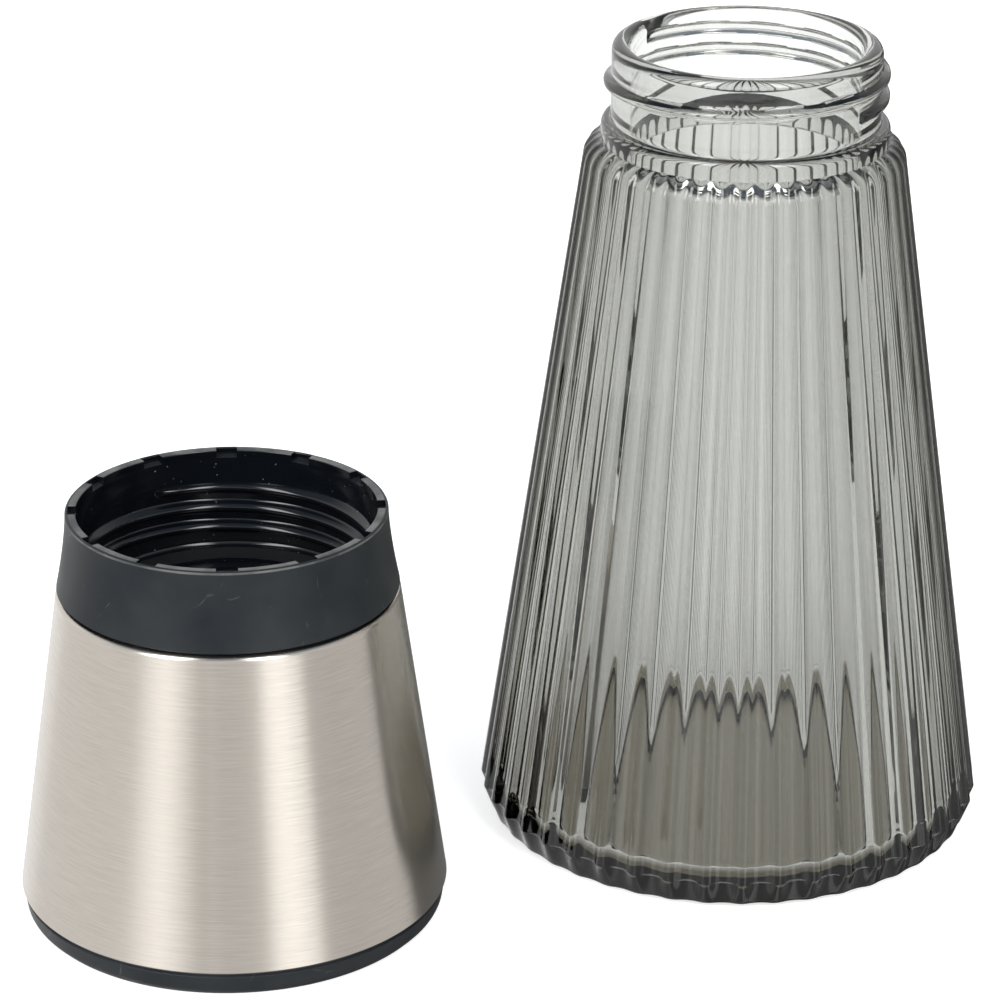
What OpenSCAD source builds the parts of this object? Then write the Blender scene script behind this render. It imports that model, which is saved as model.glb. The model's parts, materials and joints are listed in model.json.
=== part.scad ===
// Salt and pepper mill, taken apart for filling: a fluted glass jar with a screw neck, and beside it the
// grinder head, standing on its outlet end with its threaded collar upwards. All sizes are in millimetres.
// The origin is the centre of the jar's underside and +Z is up. The head's parts are drawn on the head's
// own axis, with z = 0 at the table, and are then moved to the place where the head stands.

/* [Jar] */
// Height of the jar to the top of its lip
jar_h = 121.3; // [100:0.1:160]
// Widest diameter of the jar, over the ridges near the base
jar_base_d = 76; // [66:0.5:92]
// Diameter of the flat foot
jar_foot_d = 69; // [58:0.5:69.5]
// Step from the neck's flange out to the ridges at the shoulder
shoulder_step = 2.6; // [2:0.1:5]
// Thickness of the glass wall, measured level under the flutes
jar_wall = 4; // [3:0.1:4.8]
// Thickness of the glass base
jar_floor = 2; // [1.6:0.1:5]
// Number of flutes round the jar
flute_count = 44; // [36:1:52]
// Turn of the flutes about the jar's axis, from a flute on the +X side
flute_turn = -3.5; // [-4:0.1:4]
// Radius of a flute's hollow as a share of the flutes' spacing
flute_roundness = 0.465; // [0.38:0.005:0.56]
// Depth of a flute as a share of the flutes' spacing
flute_depth = 0.187; // [0.12:0.001:0.225]
// Radius of the rounded edge above the foot
foot_round = 3.8; // [2.5:0.1:5]
// Height of that edge's lowest point above the table
foot_lift = 0.3; // [0.1:0.1:1]
// Radius with which the ridges turn in at the shoulder
shoulder_round = 3.4; // [2.6:0.1:4.4]
// Depth from the flange's top to the centre of that rounding
shoulder_drop = 6.1; // [5:0.1:8]
// Width of the floor's dished edge
dish_w = 5; // [4:0.1:8]
// Height of the floor's dished edge where it meets the wall
dish_h = 4; // [3:0.1:5]

/* [Jar neck] */
// Height of the neck from the flange's top to the top of the lip
neck_h = 11.6; // [9:0.1:14]
// Outside diameter of the neck between the thread's turns
neck_d = 39.2; // [34:0.1:48]
// Thickness of the neck's wall
neck_wall = 2.8; // [2:0.1:3.4]
// Height of the neck's thread
neck_thread_h = 1.1; // [0.8:0.05:1.3]
// Width of the flange below the thread
flange_w = 1.4; // [1.2:0.1:2]
// Chamfer on the flange's upper edge
flange_edge = 0.6; // [0.3:0.1:0.8]

/* [Head layout] */
// Place of the head's axis to the right of the jar's axis
head_x = -74.1; // [-120:0.1:-72]
// Place of the head's axis behind the jar's axis
head_y = -32.6; // [-60:0.1:0]

/* [Steel shell] */
// Height of the steel shell
shell_h = 46; // [43:0.1:60]
// Outside diameter of the shell at its wide end
shell_bottom_d = 62.4; // [60:0.1:80]
// Thickness of the steel
steel_t = 0.6; // [0.4:0.1:1]
// Width of the lip that is rolled in at the seam
shell_lip_w = 1.3; // [1:0.1:1.6]
// Thickness of the plastic liner's wall
liner_t = 1.5; // [1:0.1:2]
// Thickness of the liner's running flange
liner_flange_t = 2.5; // [2:0.1:4]

/* [Base ring] */
// Height of the black ring under the steel
base_ring_h = 3.8; // [3:0.1:6]
// Step from the steel in to the widest part of the ring
base_ring_step = 0.3; // [0.1:0.1:0.6]
// Height of the dark groove between the ring and the steel
base_groove_h = 0.5; // [0.3:0.1:0.8]
// Depth of that groove
base_groove_d = 0.25; // [0.1:0.05:0.25]
// Chamfer round the ring's underside
base_chamfer = 0.8; // [0.4:0.1:1.2]
// Taper of the ring's side from the groove down to the chamfer
base_taper = 0.4; // [0.2:0.1:0.8]
// Width of the ring's flat underside
base_ring_w = 3.6; // [3:0.1:5]
// Height of the spigot that goes up into the liner
base_spigot_h = 5; // [3:0.5:8]

/* [Collar] */
// Height of the collar above the seam
collar_h = 12.2; // [10:0.1:15]
// Thickness of the collar's wall at its rim
rim_wall = 1.65; // [1.2:0.05:2.5]
// Thickness of the collar's wall inside the steel, round the thread
collar_wall = 1.9; // [1.5:0.1:2.5]
// Chamfer on the rim's outer edge
rim_edge = 0.4; // [0.2:0.1:0.8]
// Depth of the screw socket from the rim to its floor
socket_depth = 15; // [13:0.1:17]
// Depth of the plain mouth above the thread
socket_mouth_depth = 6; // [4:0.1:7]
// Clearance all round between the neck and the socket
screw_clearance = 0.45; // [0.3:0.05:0.6]
// Thickness of the socket's floor
socket_floor_t = 3; // [2:0.1:4]
// Number of small notches in the rim's inner edge
notch_count = 12; // [8:1:16]
// Width of a notch along the rim
notch_w = 2.4; // [1.5:0.1:3]
// Height of a notch
notch_h = 1.2; // [0.8:0.1:2]
// Depth of a notch into the rim's wall
notch_depth = 0.6; // [0.3:0.1:0.8]
// Width of the sealing ring on the socket's floor
seal_w = 3.6; // [2:0.1:4]
// Thickness of the sealing ring
seal_t = 1.2; // [0.8:0.1:2]
// Height of the sealing ring above the socket's floor
seal_proud = 0.1; // [0.05:0.01:0.12]

/* [Feed throat] */
// Thickness of the spigot on which the shell turns
spigot_wall = 2.5; // [2:0.1:3]
// Length of the spigot below the retaining clip
spigot_tail = 2; // [1:0.1:3]
// Thickness of the slide washer between collar and liner
washer_t = 0.8; // [0.5:0.1:1.5]
// Width of the slide washer
washer_w = 6; // [4:0.1:6]
// Thickness of the spring-steel retaining clip
clip_t = 0.8; // [0.6:0.1:1.2]
// Radial width of the retaining clip
clip_w = 3.4; // [2.5:0.1:4]
// Depth of the clip's groove in the spigot
clip_groove = 0.9; // [0.6:0.1:1.2]
// Opening between the ends of the clip, in degrees
clip_mouth = 40; // [30:1:60]
// Diameter of the ear at each end of the clip
clip_ear_d = 3; // [2.4:0.1:3.6]
// Diameter of the hole for pliers in an ear
clip_hole_d = 1.4; // [1:0.1:1.6]
// Distance of an ear's centre inside the clip's outer edge
clip_ear_in = 0.6; // [0.4:0.1:1]
// Angle from the end of the clip to its ear's centre
clip_ear_turn = 6; // [5:0.5:8]
// Number of spokes that carry the hub
spoke_count = 3; // [3:1:4]
// Width of a spoke
spoke_w = 2.4; // [1.6:0.1:3]
// Height of the spokes above the hub's lower face
spoke_lift = 1; // [0:0.1:2]
// Least thickness of the hub round the bolt
hub_wall = 1.6; // [1.2:0.1:2.4]
// Height of the hub
hub_h = 6; // [5:0.1:8]
// Depth of the hub's top below the socket's floor
hub_drop = 3.2; // [3:0.1:4]

/* [Grinder bolt and spring] */
// Width across the flats of the bolt's square shank
bolt_sq = 5; // [4:0.1:6]
// Amount that the threaded end is thinner than the square
bolt_thread_step = 0.2; // [0.1:0.1:0.6]
// Amount that the six-sided head is wider than the square
bolt_head_step = 3; // [2:0.1:4]
// Height of the bolt's head
bolt_head_h = 2.4; // [1.5:0.1:3]
// Thickness of the washer under the bolt's head
bolt_washer_t = 0.6; // [0.4:0.1:1]
// Amount that this washer is wider than the head's corners
bolt_washer_step = 0.6; // [0.2:0.1:1]
// Wire diameter of the spring
spring_wire = 0.8; // [0.6:0.05:1]
// Room between the bolt's corners and the spring
spring_room = 0.4; // [0.3:0.05:0.8]
// Length of the fitted spring
spring_h = 8; // [7:0.1:12]
// Number of the spring's turns
spring_turns = 4.5; // [3:0.5:5]

/* [Ceramic burrs] */
// Height of the ceramic ring
stator_h = 12; // [11:0.1:16]
// Diameter of the ring's opening at its narrow waist
waist_d = 24; // [20:0.1:29]
// Thickness of the ring at its waist
ring_wall = 5; // [4:0.1:6]
// Amount that the opening flares from the waist to the inlet
inlet_flare = 1.6; // [1:0.1:2]
// Amount that the opening flares from the waist to the outlet
outlet_flare = 1.4; // [1:0.1:2]
// Width of the lip that covers the ring in its housing
ring_seat_w = 3; // [2:0.1:3.5]
// Height of the fine teeth from the outlet to the waist
fine_h = 4.5; // [3:0.1:6]
// Height of the cone's wide end above the ring's underside at the coarse setting
cone_rise = 0.5; // [0.3:0.1:1]
// Height of the ceramic cone
rotor_h = 11; // [10:0.1:14]
// Least thickness of the cone's small end under its flutes
rotor_top_wall = 0.8; // [0.6:0.1:1.5]
// Gap between the crests of the teeth at the coarse setting
grind_gap = 0.9; // [0.8:0.05:1.2]
// Fine teeth in the ring
stator_teeth = 34; // [24:1:40]
// Fine teeth on the cone
rotor_teeth = 29; // [20:1:36]
// Depth of the fine teeth
tooth_h = 0.7; // [0.4:0.05:0.9]
// Slant of the fine teeth, as degrees of turn over their height
tooth_twist = 10; // [0:1:20]
// Large breaker flutes in the ring
stator_flutes = 9; // [6:1:12]
// Large breaker flutes on the cone
rotor_flutes = 7; // [5:1:9]
// Depth of the breaker flutes
flute_h = 1.3; // [0.8:0.1:1.6]
// Slant of the ring's flutes, as degrees of turn over their height
stator_flute_twist = 24; // [10:1:40]
// Slant of the cone's flutes, as degrees of turn over their height
rotor_flute_twist = 40; // [10:1:60]
// Least thickness of the cone's plastic core round the bolt
core_wall = 1.9; // [1.4:0.1:2.4]
// Thickness of the core's flange under the cone
core_flange_t = 1.5; // [1:0.1:2]
// Step from the cone's teeth in to the core's flange
core_flange_step = 2; // [1:0.1:3]
// Axial travel of the cone between coarse and fine
grind_travel = 1.5; // [1:0.1:1.8]

/* [Burr housing] */
// Thickness of the housing's wall round the ceramic ring
housing_t = 2; // [1.5:0.1:2.5]
// Thickness of the housing's mounting flange
housing_flange_t = 2.5; // [2:0.1:4]
// Thickness of the lip over the ceramic ring
housing_lip_t = 1.8; // [1.2:0.1:2.5]
// Thickness of the clamp plate below the ceramic ring
clamp_t = 1.5; // [1:0.1:2.5]
// Length of the clamp's collar that presses on the ring
clamp_collar_h = 4.5; // [4:0.1:6]
// Number of screws in each circle
screw_count = 3; // [3:1:4]
// Shank diameter of the screws
screw_d = 2.2; // [1.8:0.1:2.6]
// Head diameter of the screws
screw_head_d = 4.2; // [3.6:0.1:4.4]
// Head height of the screws
screw_head_h = 1.6; // [1.2:0.1:2]
// Diameter of a screw head's outer face as a share of its seat
screw_head_taper = 0.8; // [0.6:0.05:0.95]
// Length, width and depth of the crossed slots in a screw head
slot_l = 2.4; // [1.6:0.1:3]
slot_w = 0.5; // [0.4:0.05:0.7]
slot_depth = 0.7; // [0.4:0.05:1]
// Diameter of the screw bosses
boss_d = 5; // [4.6:0.1:5.4]
// Thickness of the web from a boss to the liner's wall
boss_web = 2; // [1.5:0.1:3]
// Length of the screws under the head
screw_l = 8; // [6:0.5:9]

/* [Adjuster knob] */
// Width of the ring-shaped outlet between the knob and the clamp
outlet_gap = 4.7; // [4:0.1:6]
// Height of the knob
knob_h = 9.9; // [8:0.1:11]
// Chamfer round the knob's lower edge, twice that of its upper edge
knob_edge = 1; // [0.4:0.1:1.5]
// Number of finger scallops round the knob
knob_scallops = 10; // [8:1:14]
// Radius of a finger scallop
scallop_r = 2.2; // [1.5:0.1:2.4]
// Thickness of the brass nut moulded into the knob
nut_wall = 1.6; // [1.2:0.1:2]
// Thickness of the knob's closed end under the nut
knob_end_t = 1.6; // [1:0.1:2]
// Thickness of the steel washer on the knob
knob_washer_t = 0.6; // [0.4:0.1:1]

/* [Clearances] */
// Running clearance of turning and sliding fits
run_gap = 0.06; // [0.03:0.01:0.1]
// Clearance between parts that are fitted and stay put
fit_gap = 0.1; // [0.05:0.01:0.15]
// Open gap at the seam between the collar and the steel shell
seam_gap = 0.4; // [0.3:0.05:0.6]

/* [Hidden] */
$fn = 96;
// Small overlap between bodies that are joined
eps = 0.01;
// Amount by which a cut goes beyond the face that it opens
over = 1;
// Length by which a flute's rod runs on past both ends of the jar's side
flute_run = 8;

// Diameters that follow from the jar's neck
flange_d = neck_d + 2 * flange_w;
jar_shoulder_d = flange_d + 2 * shoulder_step;

// Heights of the jar
flange_z = jar_h - neck_h;
mouth_r = neck_d / 2 - neck_wall;

// Course of the jar's side, as radius and height: the centres of its rounded edges and the line between them
foot_centre = [jar_base_d / 2 - foot_round, foot_lift + foot_round];
shoulder_centre = [jar_shoulder_d / 2 - shoulder_round, flange_z - shoulder_drop];
side_run = shoulder_centre - foot_centre;
side_lean = atan2(side_run[1], side_run[0]) - acos((foot_round - shoulder_round) / norm(side_run));
side_out = [cos(side_lean), sin(side_lean)];
side_up = [-sin(side_lean), cos(side_lean)];
side_bottom = foot_centre + foot_round * side_out;
side_top = shoulder_centre + shoulder_round * side_out;
shoulder_end_r = flange_d / 2 - shoulder_centre[0];
shoulder_end_z = shoulder_centre[1] + sqrt(pow(shoulder_round, 2) - pow(shoulder_end_r, 2));
dish_round = (pow(dish_w, 2) + pow(dish_h, 2)) / (2 * dish_h);

// Heights of the head, from the table up
seam_z = base_ring_h + shell_h;
rim_z = seam_z + collar_h;
socket_z = rim_z - socket_depth;
collar_under_z = socket_z - socket_floor_t;
washer_z = collar_under_z - washer_t;
liner_top_z = washer_z - run_gap;
clip_top_z = liner_top_z - liner_flange_t - run_gap;
clip_z = clip_top_z - clip_t;
spigot_z = clip_z - spigot_tail;
hub_top_z = socket_z - hub_drop;
hub_z = hub_top_z - hub_h;
rotor_top_z = hub_z - spring_h;
rotor_z = rotor_top_z - rotor_h;
core_z = rotor_z - core_flange_t;
stator_z = rotor_z - cone_rise;
stator_top_z = stator_z + stator_h;
waist_z = stator_z + fine_h;
housing_z = stator_z - clamp_collar_h + clamp_t;
clamp_z = housing_z - clamp_t;
knob_top_z = core_z - knob_washer_t - run_gap;
knob_z = knob_top_z - knob_h;
bolt_head_z = hub_top_z + bolt_washer_t;
square_end_z = core_z + grind_travel - run_gap;
nut_z = knob_z + knob_end_t;
bolt_end_z = nut_z + grind_travel + seam_gap;

// Radii of the collar and the shell, from the screw socket outwards
socket_mouth_r = flange_d / 2 + 2 * screw_clearance;
socket_thread_r = neck_d / 2 + neck_thread_h + screw_clearance;
collar_rim_d = 2 * (socket_mouth_r + rim_wall);
collar_body_r = socket_thread_r + collar_wall;
shell_lip_r = collar_body_r + seam_gap;
shell_top_d = 2 * (shell_lip_r + shell_lip_w);
seal_in_r = (neck_d / 2 + mouth_r - seal_w) / 2;
seal_out_r = seal_in_r + seal_w;
seal_groove = seal_t - seal_proud;

// Diameters of the burrs and of the throat above them
inlet_d = waist_d + 2 * inlet_flare;
outlet_d = waist_d + 2 * outlet_flare;
stator_d = waist_d + 2 * ring_wall;
spigot_d = stator_d - 2 * ring_seat_w;
throat_d = spigot_d - 2 * spigot_wall;
washer_d = spigot_d + 2 * washer_w;

// Diameters that follow from the bolt
bolt_corner_d = bolt_sq * sqrt(2);
bolt_thread_d = bolt_sq - bolt_thread_step;
bolt_head_d = (bolt_sq + bolt_head_step) / cos(30);
spring_d = bolt_corner_d + 2 * spring_room + spring_wire;
hub_d = bolt_corner_d + 2 * hub_wall;
core_d = bolt_corner_d + 2 * core_wall;
rotor_top_d = core_d + 2 * (flute_h + rotor_top_wall);
nut_d = bolt_thread_d + 2 * nut_wall;

// Radii of the burr housing and the shell
shell_slope = (shell_bottom_d - shell_top_d) / 2 / shell_h;
clip_groove_r = spigot_d / 2 - clip_groove;
clip_in_r = clip_groove_r + fit_gap / 2;
housing_in_r = stator_d / 2 + fit_gap / 2;
housing_r = housing_in_r + housing_t;
housing_neck_r = spigot_d / 2 + seam_gap;
clamp_bore_r = outlet_d / 2 + tooth_h + fit_gap;
knob_d = 2 * (clamp_bore_r - outlet_gap);
clamp_screw_r = housing_r + (boss_d - housing_t) / 2;
housing_screw_r = liner_in_r(housing_z + housing_flange_t) - boss_d / 2 + fit_gap;
fine_slope = (outlet_d - waist_d) / 2 / fine_h;
rotor_waist_r = waist_d / 2 - grind_gap;
rotor_bottom_r = rotor_waist_r + fine_slope * (waist_z - rotor_z);

// Course of the spring: rings of points along one turn, sides of its tube and rise between its end rings
spring_rings = 8;
spring_sides = 6;
spring_steps = round(spring_turns * spring_rings);
spring_rise = spring_h - spring_wire - 2 * run_gap;

// Spacing of the flutes at radius r
function flute_spacing(r) = 2 * PI * r / flute_count;
// Centre of a flute's rod beside point p of the jar's side, and radius of the jar's inside there
function flute_centre(p) = p + (flute_roundness - flute_depth) * flute_spacing(p[0]) * side_out;
function jar_in_r(p) = p[0] - flute_depth * flute_spacing(p[0]) - jar_wall;

// Outside radius of the steel shell at height z
function shell_r(z) = shell_bottom_d / 2 - shell_slope * (z - base_ring_h);
// Outside and inside radius of the plastic liner at height z
function liner_out_r(z) = shell_r(z) - steel_t - fit_gap;
function liner_in_r(z) = liner_out_r(z) - liner_t;

// Centre of the spring's wire at step i, and the points of its section there
function spring_point(i) = let (a = 360 * i / spring_rings) [
    spring_d / 2 * cos(a),
    spring_d / 2 * sin(a),
    rotor_top_z + spring_wire / 2 + run_gap + spring_rise * i / spring_steps
];
function spring_section(i) = let (a = 360 * i / spring_rings, c = spring_point(i)) [
    for (k = [0 : spring_sides - 1]) let (b = 360 * k / spring_sides)
        c + spring_wire / 2 * [cos(b) * cos(a), cos(b) * sin(a), sin(b)]
];

// Least gap between one turn of the spring and the next
spring_gap = min([for (i = [0 : spring_steps - spring_rings])
    norm(spring_point(i + spring_rings) - spring_point(i)) - spring_wire]);
echo(spring_least_gap = spring_gap);

// Half outline of the right side of an axis, for turning
module right_half(size = 400) {
    intersection() {
        children();
        translate([0, -size / 2]) square([size, size]);
    }
}

// Upright ring between two radii
module ring(inner_r, outer_r, z, h) {
    translate([0, 0, z]) rotate_extrude() translate([inner_r, 0]) square([outer_r - inner_r, h]);
}

module at_head() {
    translate([head_x, head_y, 0]) children();
}

// Copies round the axis, the first at angle start
module around(count, start = 0) {
    for (i = [0 : count - 1]) rotate([0, 0, start + i * 360 / count]) children();
}

// One flute: a tapered rod along the jar's side, to be cut from it
module jar_flute() {
    low = side_bottom - flute_run * side_up;
    high = side_top + flute_run * side_up;
    start = flute_centre(low);
    course = flute_centre(high) - start;
    translate([start[0], 0, start[1]]) rotate([0, atan2(course[0], course[1]), 0])
        cylinder(r1 = flute_roundness * flute_spacing(low[0]), r2 = flute_roundness * flute_spacing(high[0]),
                h = norm(course), $fn = 48);
}

// Solid outline of the jar over its ridges, with the flange and the round-topped neck
module jar_outline() {
    polygon([
        [0, 0],
        [jar_foot_d / 2, 0],
        [jar_foot_d / 2, foot_centre[1]],
        side_bottom,
        side_top,
        [flange_d / 2, shoulder_end_z],
        [flange_d / 2, flange_z - flange_edge],
        [flange_d / 2 - flange_edge, flange_z],
        [neck_d / 2, flange_z],
        [neck_d / 2, jar_h - neck_wall / 2],
        [0, jar_h - neck_wall / 2]
    ]);
    translate(foot_centre) circle(foot_round);
    translate(shoulder_centre) circle(shoulder_round);
    translate([neck_d / 2 - neck_wall / 2, jar_h - neck_wall / 2]) circle(neck_wall / 2);
}

// Space inside the jar, with a dished floor and a sloping shoulder
module jar_space_outline() {
    dish_x = jar_in_r(side_bottom) - dish_w;
    dish_z = jar_floor + dish_round;
    top_z = jar_h + neck_wall;
    intersection() {
        polygon([
            [0, 0],
            [jar_in_r(side_bottom) + side_bottom[1] * tan(side_lean), 0],
            [jar_in_r(side_top), side_top[1]],
            [mouth_r, flange_z - neck_wall / 2],
            [mouth_r, top_z],
            [0, top_z]
        ]);
        union() {
            translate([dish_x, dish_z]) circle(dish_round);
            polygon([
                [0, jar_floor],
                [dish_x, jar_floor],
                [dish_x, dish_z],
                [jar_base_d, dish_z],
                [jar_base_d, top_z],
                [0, top_z]
            ]);
        }
    }
}

module glass_jar() {
    color("lightslategray") difference() {
        rotate_extrude() right_half() jar_outline();
        around(flute_count, flute_turn) jar_flute();
        rotate_extrude() right_half() jar_space_outline();
    }
}

// Screw collar with its socket, the spigot below it and the spokes that carry the bolt
module threaded_collar() {
    color("darkslategray") at_head() difference() {
        union() {
            rotate_extrude() polygon([
                [throat_d / 2, spigot_z],
                [spigot_d / 2, spigot_z],
                [spigot_d / 2, collar_under_z],
                [collar_body_r, collar_under_z],
                [collar_body_r, seam_z + seam_gap],
                [shell_top_d / 2 - seam_gap / 2, seam_z + seam_gap],
                [collar_rim_d / 2, rim_z - rim_edge],
                [collar_rim_d / 2 - rim_edge, rim_z],
                [socket_mouth_r, rim_z],
                [socket_mouth_r, rim_z - socket_mouth_depth],
                [socket_thread_r, rim_z - socket_mouth_depth],
                [socket_thread_r, socket_z],
                [throat_d / 2, socket_z]
            ]);
            translate([0, 0, hub_z]) cylinder(d = hub_d, h = hub_h);
            around(spoke_count, 90) translate([0, -spoke_w / 2, hub_z + spoke_lift])
                cube([throat_d / 2 + spigot_wall / 2, spoke_w, hub_h - spoke_lift]);
        }
        around(notch_count, 90) translate([socket_mouth_r - over, -notch_w / 2, rim_z - notch_h])
            cube([over + notch_depth, notch_w, notch_h + over]);
        ring(seal_in_r - fit_gap, seal_out_r + fit_gap, socket_z - seal_groove, seal_groove + over);
        ring(clip_groove_r, spigot_d / 2 + over, clip_z - fit_gap / 2, clip_t + fit_gap);
        translate([0, 0, hub_z - over]) linear_extrude(hub_h + 2 * over)
            square(bolt_sq + fit_gap, center = true);
    }
}

module neck_seal() {
    color("dimgray") at_head() ring(seal_in_r, seal_out_r, socket_z - seal_groove, seal_t);
}

module slide_washer() {
    color("whitesmoke") at_head() ring(spigot_d / 2 + fit_gap, washer_d / 2, washer_z, washer_t);
}

// Places of the two ears of the retaining clip
module at_clip_ears() {
    for (side = [-1, 1]) rotate([0, 0, 90 + side * (clip_mouth / 2 + clip_ear_turn)])
        translate([clip_in_r + clip_w - clip_ear_in, 0, 0]) children();
}

// Open ring that snaps into the spigot's groove, with two ears for pliers
module retaining_clip() {
    color("silver") at_head() translate([0, 0, clip_z]) difference() {
        union() {
            rotate([0, 0, 90 + clip_mouth / 2]) rotate_extrude(angle = 360 - clip_mouth)
                translate([clip_in_r, 0]) square([clip_w, clip_t]);
            at_clip_ears() cylinder(d = clip_ear_d, h = clip_t);
        }
        at_clip_ears() translate([0, 0, -over]) cylinder(d = clip_hole_d, h = clip_t + 2 * over);
    }
}

// Bolt with a six-sided head, a square shank that keys the cone, and a round threaded end for the knob
module grinder_bolt() {
    color("silver") at_head() {
        translate([0, 0, bolt_head_z]) cylinder(d = bolt_head_d, h = bolt_head_h, $fn = 6);
        translate([-bolt_sq / 2, -bolt_sq / 2, square_end_z])
            cube([bolt_sq, bolt_sq, bolt_head_z - square_end_z]);
        translate([0, 0, bolt_end_z]) cylinder(d = bolt_thread_d, h = square_end_z - bolt_end_z);
    }
}

// Washer between the bolt's head and the hub, with a square hole
module bolt_washer() {
    color("gainsboro") at_head() translate([0, 0, hub_top_z]) linear_extrude(bolt_washer_t) difference() {
        circle(d = bolt_head_d + bolt_washer_step);
        square(bolt_sq + fit_gap, center = true);
    }
}

// Thin drawn cone of steel with its upper edge rolled in at the seam
module steel_shell() {
    bottom_r = shell_bottom_d / 2;
    top_r = shell_top_d / 2;
    color("silver") at_head() rotate_extrude() polygon([
        [bottom_r - steel_t, base_ring_h],
        [bottom_r, base_ring_h],
        [top_r, seam_z - steel_t],
        [top_r - steel_t / 2, seam_z],
        [shell_lip_r, seam_z],
        [shell_lip_r, seam_z - steel_t],
        [shell_r(seam_z - 2 * steel_t) - steel_t, seam_z - 2 * steel_t]
    ]);
}

// Moulded liner inside the steel, with the flange that turns on the collar's spigot and bosses for screws
module shell_liner() {
    boss_z = housing_z + housing_flange_t;
    color("dimgray") at_head() difference() {
        union() {
            rotate_extrude() polygon([
                [liner_in_r(base_ring_h), base_ring_h],
                [liner_out_r(base_ring_h), base_ring_h],
                [liner_out_r(liner_top_z), liner_top_z],
                [spigot_d / 2 + run_gap, liner_top_z],
                [spigot_d / 2 + run_gap, liner_top_z - liner_flange_t],
                [liner_in_r(liner_top_z - liner_flange_t), liner_top_z - liner_flange_t]
            ]);
            around(screw_count, 30) intersection() {
                union() {
                    translate([housing_screw_r, 0, boss_z]) cylinder(d = boss_d, h = screw_l);
                    translate([housing_screw_r, -boss_web / 2, boss_z]) cube([boss_d, boss_web, screw_l]);
                }
                rotate_extrude() polygon([
                    [0, base_ring_h],
                    [liner_out_r(base_ring_h) - liner_t / 2, base_ring_h],
                    [liner_out_r(liner_top_z) - liner_t / 2, liner_top_z],
                    [0, liner_top_z]
                ]);
            }
        }
        around(screw_count, 30) translate([housing_screw_r, 0, boss_z - over])
            cylinder(d = screw_d + fit_gap, h = screw_l);
    }
}

// Black ring on which the head stands, with a groove under the steel and a spigot up into the liner
module base_ring() {
    wide_r = shell_bottom_d / 2 - base_ring_step;
    foot_r = wide_r - base_taper - base_chamfer;
    groove_z = base_ring_h - base_groove_h;
    spigot_top_z = base_ring_h + base_spigot_h;
    spigot_r = liner_in_r(spigot_top_z) - fit_gap;
    color("darkslategray") at_head() rotate_extrude() polygon([
        [foot_r - base_ring_w, 0],
        [foot_r, 0],
        [wide_r - base_taper, base_chamfer],
        [wide_r, groove_z],
        [wide_r - base_groove_d, groove_z],
        [wide_r - base_groove_d, base_ring_h],
        [spigot_r, base_ring_h],
        [spigot_r, spigot_top_z],
        [foot_r - base_ring_w, spigot_top_z]
    ]);
}

// Housing that carries the ceramic ring: mounting flange, sleeve round the ring, lip and feed neck above it
module burr_housing() {
    flange_r = liner_in_r(housing_z + housing_flange_t) - fit_gap;
    neck_top_z = clip_z - seam_gap;
    color("dimgray") at_head() difference() {
        union() {
            rotate_extrude() polygon([
                [housing_in_r, housing_z],
                [flange_r, housing_z],
                [flange_r, housing_z + housing_flange_t],
                [housing_r, housing_z + housing_flange_t],
                [housing_r, stator_top_z + housing_lip_t],
                [housing_neck_r + housing_t, stator_top_z + housing_lip_t],
                [housing_neck_r + housing_t, neck_top_z],
                [housing_neck_r, neck_top_z],
                [housing_neck_r, stator_top_z + fit_gap],
                [housing_in_r, stator_top_z + fit_gap]
            ]);
            around(screw_count, 90) translate([clamp_screw_r, 0, housing_z])
                cylinder(d = boss_d, h = screw_l);
        }
        around(screw_count, 30) translate([housing_screw_r, 0, housing_z - over])
            cylinder(d = screw_d + 2 * fit_gap, h = housing_flange_t + 2 * over);
        around(screw_count, 90) translate([clamp_screw_r, 0, housing_z - over])
            cylinder(d = screw_d + fit_gap, h = screw_l);
    }
}

// Round outline with saw teeth: a long ramp, a narrow crest and a steep flank in each share of the turn
module toothed_outline(crest_r, root_r, teeth) {
    step = 360 / teeth;
    place = [0, 0.62, 0.78];
    radius = [root_r, crest_r, crest_r];
    polygon([for (i = [0 : teeth - 1], k = [0 : len(place) - 1]) let (a = step * (i + place[k]))
        radius[k] * [cos(a), sin(a)]]);
}

// Round outline with broad breaker flutes: a long ramp, a crest and a steep wall in each share of the turn
module fluted_outline(crest_r, root_r, flutes) {
    step = 360 / flutes;
    place = [0, 0.16, 0.32, 0.5, 0.68, 0.84];
    rise = [0, 0.25, 0.5, 0.78, 1, 1];
    polygon([for (i = [0 : flutes - 1], k = [0 : len(place) - 1]) let (a = step * (i + place[k]))
        (root_r + (crest_r - root_r) * rise[k]) * [cos(a), sin(a)]]);
}

// Ceramic ring: breaker flutes that narrow to the waist, then fine teeth that open to the outlet
module ceramic_ring() {
    waist_r = waist_d / 2;
    breaker_h = stator_h - fine_h;
    color("ivory") at_head() difference() {
        ring(waist_r - 2 * tooth_h, stator_d / 2, stator_z, stator_h);
        translate([0, 0, waist_z + eps]) rotate([180, 0, 0])
            linear_extrude(fine_h + 2 * eps, scale = outlet_d / waist_d, twist = tooth_twist, slices = 3)
                toothed_outline(waist_r + tooth_h, waist_r, stator_teeth);
        translate([0, 0, waist_z])
            linear_extrude(breaker_h + eps, scale = inlet_d / waist_d,
                    twist = stator_flute_twist, slices = 4)
                fluted_outline(waist_r + flute_h, waist_r, stator_flutes);
    }
}

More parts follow.
